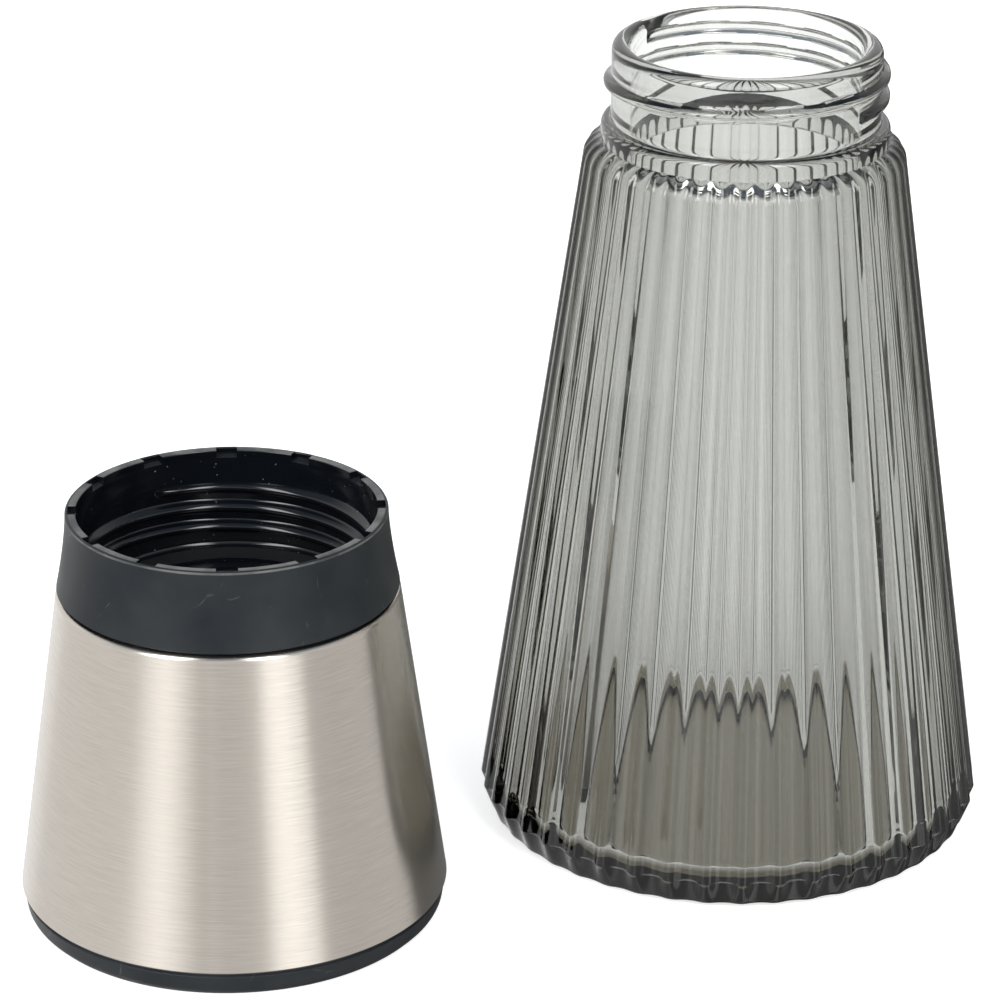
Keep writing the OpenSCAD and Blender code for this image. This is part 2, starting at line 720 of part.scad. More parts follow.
// Plate with screw ears and a collar that holds the ceramic ring up in its housing
module ring_clamp() {
    color("dimgray") at_head() difference() {
        union() {
            ring(clamp_bore_r, housing_r, clamp_z, clamp_t);
            ring(clamp_bore_r, housing_in_r - fit_gap, clamp_z, stator_z - clamp_z);
            around(screw_count, 90) translate([clamp_screw_r, 0, clamp_z])
                cylinder(d = boss_d, h = clamp_t);
        }
        around(screw_count, 90) translate([clamp_screw_r, 0, clamp_z - over])
            cylinder(d = screw_d + 2 * fit_gap, h = clamp_t + 2 * over);
    }
}

// Pan-head screw, head downwards, with its head's upper face at z = 0
module pan_screw() {
    difference() {
        union() {
            translate([0, 0, -screw_head_h])
                cylinder(d1 = screw_head_d * screw_head_taper, d2 = screw_head_d, h = screw_head_h);
            cylinder(d = screw_d, h = screw_l);
        }
        for (turn = [0, 90]) rotate([0, 0, turn])
            translate([-slot_l / 2, -slot_w / 2, -screw_head_h - over])
                cube([slot_l, slot_w, over + slot_depth]);
    }
}

module housing_screws() {
    color("silver") at_head() around(screw_count, 30) translate([housing_screw_r, 0, housing_z]) pan_screw();
}

module clamp_screws() {
    color("silver") at_head() around(screw_count, 90) translate([clamp_screw_r, 0, clamp_z]) pan_screw();
}

// Ceramic cone: breaker flutes on its upper part and fine teeth on its wide end
module ceramic_cone() {
    fine_part_h = waist_z - rotor_z;
    fine_scale = rotor_bottom_r / rotor_waist_r;
    breaker_h = rotor_h - fine_part_h;
    breaker_scale = rotor_top_d / 2 / rotor_waist_r;
    color("ivory") at_head() difference() {
        union() {
            translate([0, 0, waist_z]) rotate([180, 0, 0])
                linear_extrude(fine_part_h, scale = fine_scale, twist = -tooth_twist, slices = 3)
                    toothed_outline(rotor_waist_r, rotor_waist_r - tooth_h, rotor_teeth);
            translate([0, 0, waist_z])
                linear_extrude(breaker_h, scale = breaker_scale, twist = -rotor_flute_twist, slices = 5)
                    fluted_outline(rotor_waist_r, rotor_waist_r - flute_h, rotor_flutes);
        }
        translate([0, 0, rotor_z - over]) cylinder(d = core_d, h = rotor_h + 2 * over);
    }
}

// Core that carries the cone and slides on the bolt's square shank
module cone_core() {
    flange_r = rotor_bottom_r - tooth_h - core_flange_step;
    color("dimgray") at_head() difference() {
        union() {
            translate([0, 0, core_z]) cylinder(r = flange_r, h = core_flange_t);
            translate([0, 0, core_z]) cylinder(d = core_d - fit_gap, h = rotor_h + core_flange_t);
        }
        translate([0, 0, core_z - over]) linear_extrude(rotor_h + core_flange_t + 2 * over)
            square(bolt_sq + 2 * run_gap, center = true);
    }
}

module knob_washer() {
    color("gainsboro") at_head()
        ring(bolt_corner_d / 2 + fit_gap, knob_d / 2 - scallop_r, core_z - knob_washer_t, knob_washer_t);
}

// Knob with finger scallops, closed at its lower end, bored for its brass nut
module adjuster_knob() {
    color("darkslategray") at_head() difference() {
        rotate_extrude() polygon([
            [0, knob_z],
            [knob_d / 2 - knob_edge, knob_z],
            [knob_d / 2, knob_z + knob_edge],
            [knob_d / 2, knob_top_z - knob_edge / 2],
            [knob_d / 2 - knob_edge / 2, knob_top_z],
            [0, knob_top_z]
        ]);
        translate([0, 0, nut_z]) cylinder(d = nut_d, h = knob_h);
        around(knob_scallops) translate([knob_d / 2 + scallop_r / 2, 0, knob_z - over])
            cylinder(r = scallop_r, h = knob_h + 2 * over, $fn = 32);
    }
}

module knob_nut() {
    color("goldenrod") at_head()
        ring(bolt_thread_d / 2 + run_gap, nut_d / 2 - run_gap / 2, nut_z, knob_top_z - nut_z);
}

// Spring round the bolt: one unbroken tube along a helix
module cone_spring() {
    n = spring_sides;
    last = n * spring_steps;
    tube = [for (i = [0 : spring_steps]) each spring_section(i)];
    sides = [for (i = [0 : spring_steps - 1], k = [0 : n - 1]) let (a = n * i + k, b = n * i + (k + 1) % n)
        each [[a, a + n, b], [b, a + n, b + n]]];
    ends = [for (k = [1 : n - 2]) each [[0, k, k + 1], [last, last + k + 1, last + k]]];
    color("silver") at_head() polyhedron(tube, concat(sides, ends));
}

glass_jar();
threaded_collar();
neck_seal();
slide_washer();
retaining_clip();
grinder_bolt();
bolt_washer();
steel_shell();
shell_liner();
base_ring();
burr_housing();
ceramic_ring();
ring_clamp();
housing_screws();
clamp_screws();
ceramic_cone();
cone_core();
knob_washer();
adjuster_knob();
knob_nut();
cone_spring();
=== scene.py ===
"""Salt and pepper mill taken apart for filling: a fluted glass jar and a steel-sleeved grinder head."""
import json
import math

import bpy
import numpy as np
from mathutils import Matrix, Vector


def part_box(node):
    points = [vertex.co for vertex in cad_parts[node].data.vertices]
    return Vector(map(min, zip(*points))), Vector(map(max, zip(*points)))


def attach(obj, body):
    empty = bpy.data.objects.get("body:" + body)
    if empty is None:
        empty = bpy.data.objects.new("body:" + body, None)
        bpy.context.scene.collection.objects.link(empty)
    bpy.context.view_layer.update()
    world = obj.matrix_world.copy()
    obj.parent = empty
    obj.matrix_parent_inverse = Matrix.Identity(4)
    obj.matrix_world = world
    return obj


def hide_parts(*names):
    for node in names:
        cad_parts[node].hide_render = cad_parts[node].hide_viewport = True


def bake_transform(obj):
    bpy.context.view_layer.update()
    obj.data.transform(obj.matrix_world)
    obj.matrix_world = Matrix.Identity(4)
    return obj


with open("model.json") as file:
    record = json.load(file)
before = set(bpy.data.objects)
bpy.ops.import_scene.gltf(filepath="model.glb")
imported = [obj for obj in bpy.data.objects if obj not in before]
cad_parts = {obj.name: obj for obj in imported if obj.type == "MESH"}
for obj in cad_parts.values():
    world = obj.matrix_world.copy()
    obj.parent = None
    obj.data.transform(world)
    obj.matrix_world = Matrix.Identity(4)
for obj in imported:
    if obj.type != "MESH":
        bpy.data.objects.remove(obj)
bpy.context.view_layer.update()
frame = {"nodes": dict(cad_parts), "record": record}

bl_info = {
    "name": "Salt and Pepper Mill",
    "version": (1, 0, 0),
    "blender": (4, 5, 0),
    "location": "View3D > Sidebar > Mill",
    "description": "Dresses the mill's frame with its glass, steel, plastic and ceramic pieces",
    "category": "Object",
}

MM = 0.001
MOUNTS = {mount["name"]: mount for mount in frame["record"]["mounts"]}
JAR_LOW, JAR_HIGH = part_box("glass_jar")
COLLAR_LOW, COLLAR_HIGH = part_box("threaded_collar")
STEEL_LOW, STEEL_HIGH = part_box("steel_shell")
RING_LOW, RING_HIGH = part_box("base_ring")
WASHER_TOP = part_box("slide_washer")[1].z
CLIP_LOW, CLIP_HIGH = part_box("retaining_clip")
SEAL_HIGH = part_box("neck_seal")[1]
HUB_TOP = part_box("bolt_washer")[0].z
SPRING_LOW, SPRING_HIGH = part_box("cone_spring")
HEAD_X, HEAD_Y = MOUNTS["collar_socket"]["pos_m"][:2]

# Free gap round a piece that slides or sits in a groove.
SLACK = 0.05 * MM
# Small distance that keeps two rows of a profile apart.
ROW_GAP = 0.1 * MM
# Share of its radius at which a flat face goes over into a fan to its middle.
FAN_SHARE = 0.05
# Steps round the axis of a plain turned piece.
TURN_STEPS = 360
# Refractive index of ABS.
ABS_IOR = 1.52
# Span of values that a noise texture mostly fills.
NOISE_SPAN = {"From Min": 0.3, "From Max": 0.7}
WHITE = (1.0, 1.0, 1.0, 1.0)


def width(low, high):
    """Diameter of a round node, from its box."""
    return high.y - low.y


def length(name, description, default):
    """Property for a size in metres."""
    return bpy.props.FloatProperty(name=name, description=description, default=default, unit="LENGTH",
                                   precision=5)


def angle(name, description, degrees):
    """Property for an angle, given in degrees."""
    return bpy.props.FloatProperty(name=name, description=description, default=math.radians(degrees),
                                   subtype="ANGLE")


def level(name, description, default):
    """Property for a plain factor or brightness."""
    return bpy.props.FloatProperty(name=name, description=description, default=default, min=0.0)


def whole(name, description, default, least):
    """Property for a whole number."""
    return bpy.props.IntProperty(name=name, description=description, default=default, min=least)


def linear(code):
    """Linear red, green and blue of an sRGB hex colour such as #34383C."""
    srgb = np.array([int(code[i:i + 2], 16) for i in (1, 3, 5)]) / 255
    return tuple(np.where(srgb <= 0.04045, srgb / 12.92, ((srgb + 0.055) / 1.055) ** 2.4))


def colour(name, description, code):
    """Property for a colour, given as an sRGB hex code and kept as linear light."""
    return bpy.props.FloatVectorProperty(name=name, description=description, default=linear(code),
                                         subtype="COLOR", min=0.0, max=1.0)


class MillJarSettings(bpy.types.PropertyGroup):
    """Sizes of the pressed glass jar."""

    height: length("Height", "Height of the jar to the top of its lip", JAR_HIGH.z)
    base_diameter: length("Base diameter", "Widest diameter, over the ridges", width(JAR_LOW, JAR_HIGH))
    foot_diameter: length("Foot diameter", "Diameter of the flat underside", 69 * MM)
    foot_round: length("Foot round", "Radius of the rounding between the heel and the foot", 1.2 * MM)
    foot_lift: length("Foot lift", "Height of that rounding's lowest point above the table", 0.3 * MM)
    heel_height: length("Heel height", "Height of the widest edge above the table", 4.4 * MM)
    heel_slope: angle("Heel slope", "Angle by which the heel draws in under the widest edge", 21.0)
    heel_edge: length("Heel edge", "Rounding of the widest edge", 0.35 * MM)
    heel_flutes: level("Heel flutes", "Share of the flutes' depth that is left at the foot", 0.2)
    shoulder_diameter: length("Shoulder diameter", "Diameter over the ridges where they turn in", 47.2 * MM)
    shoulder_drop: length("Shoulder drop", "Depth of the shoulder's centre below the flange's top", 6.1 * MM)
    shoulder_round: length("Shoulder round", "Radius with which the ridges turn in to the flange", 3.4 * MM)
    flute_count: whole("Flutes", "Number of flutes round the jar", 44, 12)
    flute_steps: whole("Flute steps", "Steps of the surface across one flute", 14, 6)
    flute_turn: angle("Flute turn", "Turn of the first flute's middle from the +X direction", -3.5)
    flute_slope: angle("Flute slope", "Slope of the surface where a hollow turns into a ridge", 41.0)
    ridge_share: level("Ridge share", "Share of the spacing that the rounded ridges take up", 0.39)
    floor: length("Floor", "Thickness of the glass base", 2 * MM)
    dish_width: length("Dish width", "Width of the dished edge of the floor", 5 * MM)
    dish_height: length("Dish height", "Height of the dished edge of the floor at the wall", 4 * MM)
    wall: length("Wall", "Thickness of the side under the flutes", 4 * MM)
    ceiling_drop: length("Ceiling drop", "Depth of the inside's top below the shoulder's start", 0.4 * MM)
    ceiling_bend: length("Ceiling bend", "Radius of the two bends in the inside's top", 0.9 * MM)
    neck_diameter: length("Neck diameter", "Outside diameter between the thread's turns",
                          2 * MM * MOUNTS["jar_neck"]["dims"]["r_mm"])
    neck_wall: length("Neck wall", "Thickness of the neck, and diameter of its rounded lip", 2.8 * MM)
    neck_height: length("Neck height", "Height of the neck above the flange", 11.6 * MM)
    flange_diameter: length("Flange diameter", "Diameter of the flange below the thread", 42 * MM)
    flange_round: length("Flange round", "Rounding of the flange's upper edge", 0.85 * MM)
    flange_fillet: length("Flange fillet", "Rounding between the flange and the neck", 0.4 * MM)
    thread_pitch: length("Thread pitch", "Rise of the thread in one turn", 3.2 * MM)
    thread_height: length("Thread height", "Height of the thread over the neck", 1.1 * MM)
    thread_half_width: length("Thread half width", "Half the width of the thread's foot", 0.9 * MM)
    thread_power: level("Thread power", "Power of the thread's section, blunter when higher", 4.0)
    thread_drop: length("Thread drop", "Depth of the thread below the lip in the +X direction", 7.45 * MM)
    thread_start: angle("Thread start", "Direction in which the thread begins", -38.0)
    thread_end: angle("Thread end", "Direction in which the thread ends, counted on from its start", 502.0)
    thread_fade: angle("Thread fade", "Turn over which the thread's ends rise", 14.0)


class MillHeadSettings(bpy.types.PropertyGroup):
    """Sizes of the grinder head's collar, sleeve, ring and spring."""

    rim_height: length("Rim height", "Height of the collar's rim above the table", COLLAR_HIGH.z)
    rim_diameter: length("Rim diameter", "Outside diameter of the collar at its rim", 46 * MM)
    rim_round: length("Rim round", "Rounding of the rim's outer edge", 0.35 * MM)
    rim_inner_round: length("Rim inner round", "Rounding of the rim's inner edge", 0.2 * MM)
    mouth_diameter: length("Mouth diameter", "Inside diameter of the collar at its rim", 42.9 * MM)
    collar_diameter: length("Collar diameter", "Outside diameter of the collar at the seam",
                            width(COLLAR_LOW, COLLAR_HIGH))
    collar_flare: level("Collar flare", "Power with which the outside widens towards the seam", 1.5)
    collar_chamfer: length("Collar chamfer", "Chamfer of the collar's edge at the seam", 0.3 * MM)
    collar_body_diameter: length("Collar body", "Diameter of the collar inside the sleeve", 46.1 * MM)
    seam_gap: length("Seam gap", "Open gap between the collar and the steel", 0.4 * MM)
    socket_diameter: length("Socket diameter", "Diameter of the socket between the thread's turns",
                            2 * MM * MOUNTS["collar_socket"]["dims"]["r_mm"])
    socket_depth: length("Socket depth", "Depth of the socket from the rim to its floor", 15 * MM)
    socket_corner: length("Socket corner", "Rounding between the socket's wall and its floor", 0.8 * MM)
    mouth_depth: length("Mouth depth", "Depth of the plain mouth above the thread", 5 * MM)
    thread_pitch: length("Thread pitch", "Rise of the collar's thread in one turn", 3.15 * MM)
    thread_height: length("Thread height", "Height of the thread over the socket's wall", 1.05 * MM)
    thread_half_width: length("Thread half width", "Half the width of the thread's foot", 1.15 * MM)
    thread_power: level("Thread power", "Power of the thread's section, blunter when higher", 2.0)
    thread_top: length("Thread top", "Depth of the thread's upper end below the rim", 5.3 * MM)
    thread_start: angle("Thread start", "Direction of the thread's upper end", 123.0)
    thread_turns: level("Thread turns", "Turns of the thread", 2.7)
    thread_fade: angle("Thread fade", "Turn over which the thread's ends rise", 10.0)
    notch_count: whole("Notches", "Notches in the rim's inner edge", 12, 0)
    notch_width: length("Notch width", "Width of a notch along the rim", 3 * MM)
    notch_height: length("Notch height", "Height of a notch", 1.2 * MM)
    notch_depth: length("Notch depth", "Depth of a notch into the rim", 1.1 * MM)
    notch_ramp: length("Notch ramp", "Fall of a notch's shelf towards the socket", 0.2 * MM)
    notch_turn: angle("Notch turn", "Direction of the first notch", 93.7)
    throat_diameter: length("Throat diameter", "Diameter of the feed throat", 23 * MM)
    throat_round: length("Throat round", "Rounding of the throat's upper edge", 0.4 * MM)
    spigot_diameter: length("Spigot diameter", "Diameter of the spigot that the sleeve turns on", 28 * MM)
    clip_groove: length("Clip groove", "Depth of the retaining clip's groove", 0.9 * MM)
    seal_groove: length("Seal groove", "Depth of the sealing ring's groove", 1.1 * MM)
    seal_groove_width: length("Seal groove width", "Width of the sealing ring's groove", 3.8 * MM)
    hub_diameter: length("Hub diameter", "Diameter of the hub that holds the bolt", 10.27 * MM)
    hub_height: length("Hub height", "Height of the hub", 6 * MM)
    hub_edge: length("Hub edge", "Chamfer and rounding of the hub's edges", 0.4 * MM)
    bolt_square: length("Bolt square", "Width of the bolt's square shank", 5 * MM)
    spoke_count: whole("Spokes", "Spokes from the hub to the spigot", 3, 2)
    spoke_width: length("Spoke width", "Width of a spoke", 2.4 * MM)
    spoke_lift: length("Spoke lift", "Height of the spokes above the hub's lower face", 1 * MM)
    spoke_drop: length("Spoke drop", "Depth of the spokes below the hub's upper face", 0.2 * MM)
    spoke_round: length("Spoke round", "Rounding of a spoke's edges", 0.5 * MM)
    spoke_root: length("Spoke root", "Depth of a spoke's ends in the hub and the spigot", 0.4 * MM)
    spring_wire: length("Spring wire", "Diameter of the spring's wire", 0.8 * MM)
    spring_turns: level("Spring turns", "Turns of the spring", 4.5)
    sleeve_diameter: length("Sleeve diameter", "Outside diameter of the steel sleeve at its wide end",
                            width(STEEL_LOW, STEEL_HIGH))
    sleeve_bottom: length("Sleeve bottom", "Height of the sleeve's lower edge", STEEL_LOW.z)
    sleeve_top: length("Sleeve top", "Height of the sleeve's rolled edge", STEEL_HIGH.z)
    sleeve_top_diameter: length("Sleeve top diameter", "Diameter of the sleeve at the seam", 49.5 * MM)
    sleeve_lip: length("Sleeve lip", "Width of the lip rolled in at the seam", 1.3 * MM)
    sleeve_bend: length("Sleeve bend", "Width of the bend behind the lip", 0.5 * MM)
    sleeve_round: length("Sleeve round", "Radius of the rolled edge", 0.75 * MM)
    sleeve_edge: length("Sleeve edge", "Chamfer of the steel's cut edges", 0.15 * MM)
    steel_thickness: length("Steel thickness", "Thickness of the steel", 0.6 * MM)
    ring_height: length("Ring height", "Height of the black ring under the steel", 3.8 * MM)
    ring_edge: length("Ring edge", "Chamfer of the ring's small edges", 0.2 * MM)
    ring_spigot_top: length("Ring spigot top", "Height of the ring's spigot above the table", RING_HIGH.z)
    ring_diameter: length("Ring diameter", "Widest diameter of the black ring", width(RING_LOW, RING_HIGH))
    ring_inner_diameter: length("Ring bore", "Inside diameter of the ring", 52.2 * MM)
    ring_spigot_diameter: length("Ring spigot", "Diameter of the ring's spigot in the liner", 56.44 * MM)
    ring_groove_height: length("Ring groove height", "Height of the groove under the steel", 0.5 * MM)
    ring_groove_depth: length("Ring groove depth", "Depth of that groove", 0.25 * MM)
    ring_taper: length("Ring taper", "Taper of the ring's side", 0.4 * MM)
    ring_chamfer: length("Ring chamfer", "Chamfer round the ring's underside", 0.8 * MM)


class MillFinishSettings(bpy.types.PropertyGroup):
    """Colours of the finishes."""

    glass_tint: colour("Glass tint", "Colour that is left of white light in deep glass", "#7E7F6E")
    glass_density: level("Glass density", "Strength of the glass tint, per metre", 126.0)
    charcoal: colour("Charcoal plastic", "Satin plastic of the collar, the ring and the knob", "#0F151B")
    gloss_black: colour("Black plastic", "Polished plastic inside the collar and the head", "#0B0E12")
    scuff: colour("Scuffs", "Worn edges and scratches on the plastic", "#727470")
    dust: colour("Dust", "Specks of salt and dust", "#B9BCBE")
    steel: colour("Brushed steel", "Sleeve", "#CFC8BF")
    spring: colour("Spring steel", "Spring and retaining clip", "#8C8D90")
    zinc: colour("Zinc plate", "Bolt, washers and screws", "#C4C6C8")
    ceramic: colour("Ceramic", "Burr ring and cone", "#EBE6DA")
    brass: colour("Brass", "Nut in the knob", "#D0A860")
    acetal: colour("Acetal", "Slide washer", "#E9E7E0")
    silicone: colour("Silicone", "Sealing ring", "#15171A")


class MillStageSettings(bpy.types.PropertyGroup):
    """Camera and light."""

    camera_place: bpy.props.FloatVectorProperty(
        name="Camera place", description="Place of the camera", subtype="XYZ", unit="LENGTH",
        default=(-0.035294, -0.573621, 0.292198))
    camera_pitch: angle("Camera pitch", "Angle by which the camera looks down", 22.933)
    camera_roll: angle("Camera roll", "Turn of the camera about its own axis", 0.275)
    camera_lens: level("Lens", "Focal length on a 36 mm sensor, in millimetres", 149.01)
    floor_width: length("Floor width", "Width of the pale floor", 3.0)
    floor_drop: length("Floor drop", "Gap that keeps the floor's face apart from the feet", 0.15 * MM)
    floor_colour: colour("Floor", "Pale floor", "#D6D6D4")
    floor_glow: level("Floor glow", "Light that the floor adds to its own white", 0.7)
    # Colour of the shadow painted on the floor under and behind the jar's foot.
    painted_floor_shade: colour("Floor shade", "Floor under the jar's foot, where little light gets in", "#8F8A79")
    shade_shift: length("Shade shift", "Distance by which that shade lies behind the jar's axis", 5 * MM)
    shade_squeeze: level("Shade squeeze", "Factor by which that shade is narrower than it is deep", 1.13)
    shade_margin: length("Shade margin", "Width of the full shade outside the foot", 2 * MM)
    shade_edge: length("Shade edge", "Width over which the shade fades", 5 * MM)
    ceiling: colour("Ceiling", "Dim cool ceiling above the softboxes", "#8794A2")


def add_node(tree, kind, inputs=None, **settings):
    """Adds a node with its settings and inputs.

    An input takes a value, a socket, or a node, whose first output is then linked to it.
    """
    node = tree.nodes.new("ShaderNode" + kind)
    for key, value in settings.items():
        setattr(node, key, value)
    for key, value in (inputs or {}).items():
        if isinstance(value, bpy.types.Node):
            value = next(socket for socket in value.outputs if socket.enabled)
        if isinstance(value, bpy.types.NodeSocket):
            tree.links.new(value, node.inputs[key])
        else:
            node.inputs[key].default_value = value
    return node


def new_material(name):
    """Empty node material, its tree and its Object coordinates."""
    material = bpy.data.materials.new(name)
    material.use_nodes = True
    tree = material.node_tree
    tree.nodes.clear()
    return material, tree, add_node(tree, "TexCoord").outputs["Object"]


def rgba(values):
    """A colour property with full alpha."""
    return (*values, 1.0)


def arc(centre, radius, start, end, count):
    """Points on a circle from one angle to another, in degrees, as rows of radius and height."""
    turn = np.radians(np.linspace(start, end, count))
    return np.stack([centre[0] + radius * np.cos(turn), centre[1] + radius * np.sin(turn)], axis=1)


def arc_point(centre, radius, degrees):
    """One point on a circle, as radius and height."""
    return arc(centre, radius, degrees, degrees, 1)[0]


def line(start, end, count=2):
    """Evenly spaced points from one place to another, as rows of radius and height."""
    return np.linspace(start, end, count)


def between(start, end, count, margin=0.2 * MM):
    """Points between two places, a margin inside them, so that a bend there stays out of a straight run."""
    share = margin / math.dist(start, end)
    return np.asarray(start) + np.linspace(share, 1 - share, count)[:, None] * np.subtract(end, start)


def turn_angles(count, extra=()):
    """Row of angles round an axis in radians: count even steps, and extra ones where an edge needs them."""
    even = np.arange(count) * 2 * np.pi / count
    return np.unique(np.concatenate([even, np.mod(extra, 2 * np.pi)]).round(7))[None, :]


def outward(profile):
    """Normals of a profile that runs up the outside: the direction of travel turned to the right."""
    travel = np.gradient(profile, axis=0)
    normal = np.stack([travel[:, 1], -travel[:, 0]], axis=1)
    return normal / np.maximum(np.linalg.norm(normal, axis=1, keepdims=True), 1e-12)


def wrap(radius, height, turn, centre=(0.0, 0.0)):
    """Grid of points from radius and height at each row and turn: x = r cos a, y = r sin a, z = height."""
    radius, height, turn = np.broadcast_arrays(radius, height, turn)
    return np.stack([centre[0] + radius * np.cos(turn), centre[1] + radius * np.sin(turn), height], axis=2)


def turned(*parts):
    """Grid of a plain piece turned round the head's axis, from the parts of its profile."""
    profile = np.concatenate(parts)
    return wrap(profile[:, :1], profile[:, 1:], turn_angles(TURN_STEPS), (HEAD_X, HEAD_Y))


def surface(name, points, ring=False, bands=0, crease=32.0):
    """Mesh over a grid of points whose columns close round the axis.

    Rows either close on themselves, which makes a ring, or end in a fan of triangles to the middle of the
    first and the last row. bands gives the faces' material slots, by row or by row and column. The UV map
    runs round the axis in U and along the rows in V. Edges sharper than the crease, in degrees, stay sharp.
    """
    rows, columns = points.shape[:2]
    row = np.arange(rows if ring else rows - 1)[:, None]
    column = np.arange(columns)[None, :]
    above, beside = (row + 1) % rows, (column + 1) % columns
    corners = (row * columns + column, row * columns + beside,
               above * columns + beside, above * columns + column)
    faces = np.stack(np.broadcast_arrays(*corners), axis=2).reshape(-1, 4).tolist()
    vertices = points.reshape(-1, 3)
    u, v = np.broadcast_arrays(column / columns, row / rows)
    du, dv = 1 / columns, 1 / rows
    uv = np.stack([np.stack(corner, 2) for corner in ((u, v), (u + du, v), (u + du, v + dv), (u, v + dv))],
                  axis=2).reshape(-1, 2)
    slots = np.broadcast_to(bands, (len(row), columns)).reshape(-1)
    if not ring:
        low_pole, high_pole = len(vertices), len(vertices) + 1
        vertices = np.concatenate([vertices, points[[0, -1]].mean(axis=1)])
        first, beyond, last = column[0], beside[0], (rows - 1) * columns
        low = np.stack([np.full(columns, low_pole), beyond, first], axis=1)
        high = np.stack([np.full(columns, high_pole), last + first, last + beyond], axis=1)
        faces += low.tolist() + high.tolist()
        fan = np.stack([first, first, first + 1], axis=1) / columns
        uv = np.concatenate([uv] + [np.stack([fan, np.broadcast_to(rise, fan.shape)], 2).reshape(-1, 2)
                                    for rise in ([0.0, dv, dv], [1.0, 1 - dv, 1 - dv])])
        slots = np.concatenate([slots, np.full(columns, slots[0]), np.full(columns, slots[-1])])
    mesh = bpy.data.meshes.new(name)
    mesh.from_pydata(vertices.tolist(), [], faces)
    mesh.uv_layers.new(name="turn").data.foreach_set("uv", uv.ravel())
    mesh.polygons.foreach_set("material_index", slots.astype(np.int32))
    mesh.shade_smooth()
    mesh.set_sharp_from_angle(angle=math.radians(crease))
    mesh.validate()
    return mesh


def stand_in(mesh, slot, node, *materials):
    """Object for a finished mesh that stands for a CAD node. The slot is not used."""
    piece = bpy.data.objects.new(mesh.name, mesh)
    bpy.context.scene.collection.objects.link(piece)
    for material in materials:
        mesh.materials.append(material)
    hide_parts(node)
    return piece


def place(mesh, body, slot, node, *materials):
    """Object that stands for a CAD node and rides on a body."""
    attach(stand_in(mesh, slot, node, *materials), body)


def thread_swell(sizes, turn, height, start, end, base, pitch):
    """Share of a thread's full height at each height and turn.

    The ridge's middle climbs by the pitch in each turn from start to end. Across the ridge the section is the
    square of one minus a power of the share of the half width: a round rib at the power two, a blunt one
    above. Both ends rise over the fade angle.
    """
    swell = np.zeros(np.broadcast(turn, height).shape)
    for lap in range(math.floor(start / (2 * np.pi)), math.ceil(end / (2 * np.pi)) + 1):
        along = turn + 2 * np.pi * lap
        middle = base + pitch * along / (2 * np.pi)
        share = np.abs((height - middle) / sizes.thread_half_width)
        rib = np.maximum(1 - share ** sizes.thread_power, 0) ** 2
        ends = np.clip(np.minimum(along - start, end - along) / sizes.thread_fade, 0, 1)
        swell = np.maximum(swell, rib * np.sqrt(ends * (2 - ends)))
    return swell


def marks(tree, coordinates, wide, tall, detail=2.0, roughness=0.5):
    """Cloudy marks of a width and a height in metres: noise that is drawn out when the two differ."""
    scaled = add_node(tree, "Mapping", {"Vector": coordinates, "Scale": (1 / wide, 1 / wide, 1 / tall)})
    return add_node(tree, "TexNoise", {"Vector": scaled, "Scale": 1.0, "Detail": detail,
                                       "Roughness": roughness})


def coat(tree, pattern, depth, inputs):
    """Ends a material with a skin whose relief follows a pattern, depth metres deep."""
    bump = add_node(tree, "Bump", {"Strength": 1.0, "Distance": depth, "Height": pattern})
    skin = add_node(tree, "BsdfPrincipled", {**inputs, "Normal": bump})
    return add_node(tree, "OutputMaterial", {"Surface": skin})


def smoke_glass(finish):
    """Pressed soda-lime glass with a light smoke tint: clear, glossy, darker where deep, faintly wavy."""
    material, tree, coordinates = new_material("pressed_smoke_glass")
    drawn = marks(tree, coordinates, 1.1 * MM, 45 * MM, 3.0)
    tint = add_node(tree, "VolumeAbsorption",
                    {"Color": rgba(finish.glass_tint), "Density": finish.glass_density})
    output = coat(tree, drawn, 0.0006 * MM,
                  {"Base Color": WHITE, "Roughness": 0.0, "IOR": 1.52, "Transmission Weight": 1.0})
    tree.links.new(tint.outputs["Volume"], output.inputs["Volume"])
    return material


def scratches(tree, coordinates):
    """Share of hair-like scratches: the edges of cells, bent by noise and kept only in some patches."""
    tangled = marks(tree, coordinates, 6 * MM, 6 * MM, 1.0).outputs["Color"]
    bend = add_node(tree, "VectorMath", {0: tangled, "Scale": 6 * MM}, operation="SCALE")
    bent = add_node(tree, "VectorMath", {0: coordinates, 1: bend}, operation="ADD")
    cells = add_node(tree, "TexVoronoi", {"Vector": bent, "Scale": 1 / (11 * MM)}, feature="DISTANCE_TO_EDGE")
    thin = add_node(tree, "MapRange", {"Value": cells, "From Max": 0.012, "To Min": 1.0, "To Max": 0.0})
    patch = marks(tree, bent, 5 * MM, 5 * MM)
    kept = add_node(tree, "MapRange", {"Value": patch, "From Min": 0.58, "From Max": 0.68, "To Max": 0.4})
    return add_node(tree, "Math", {0: thin, 1: kept}, operation="MULTIPLY")


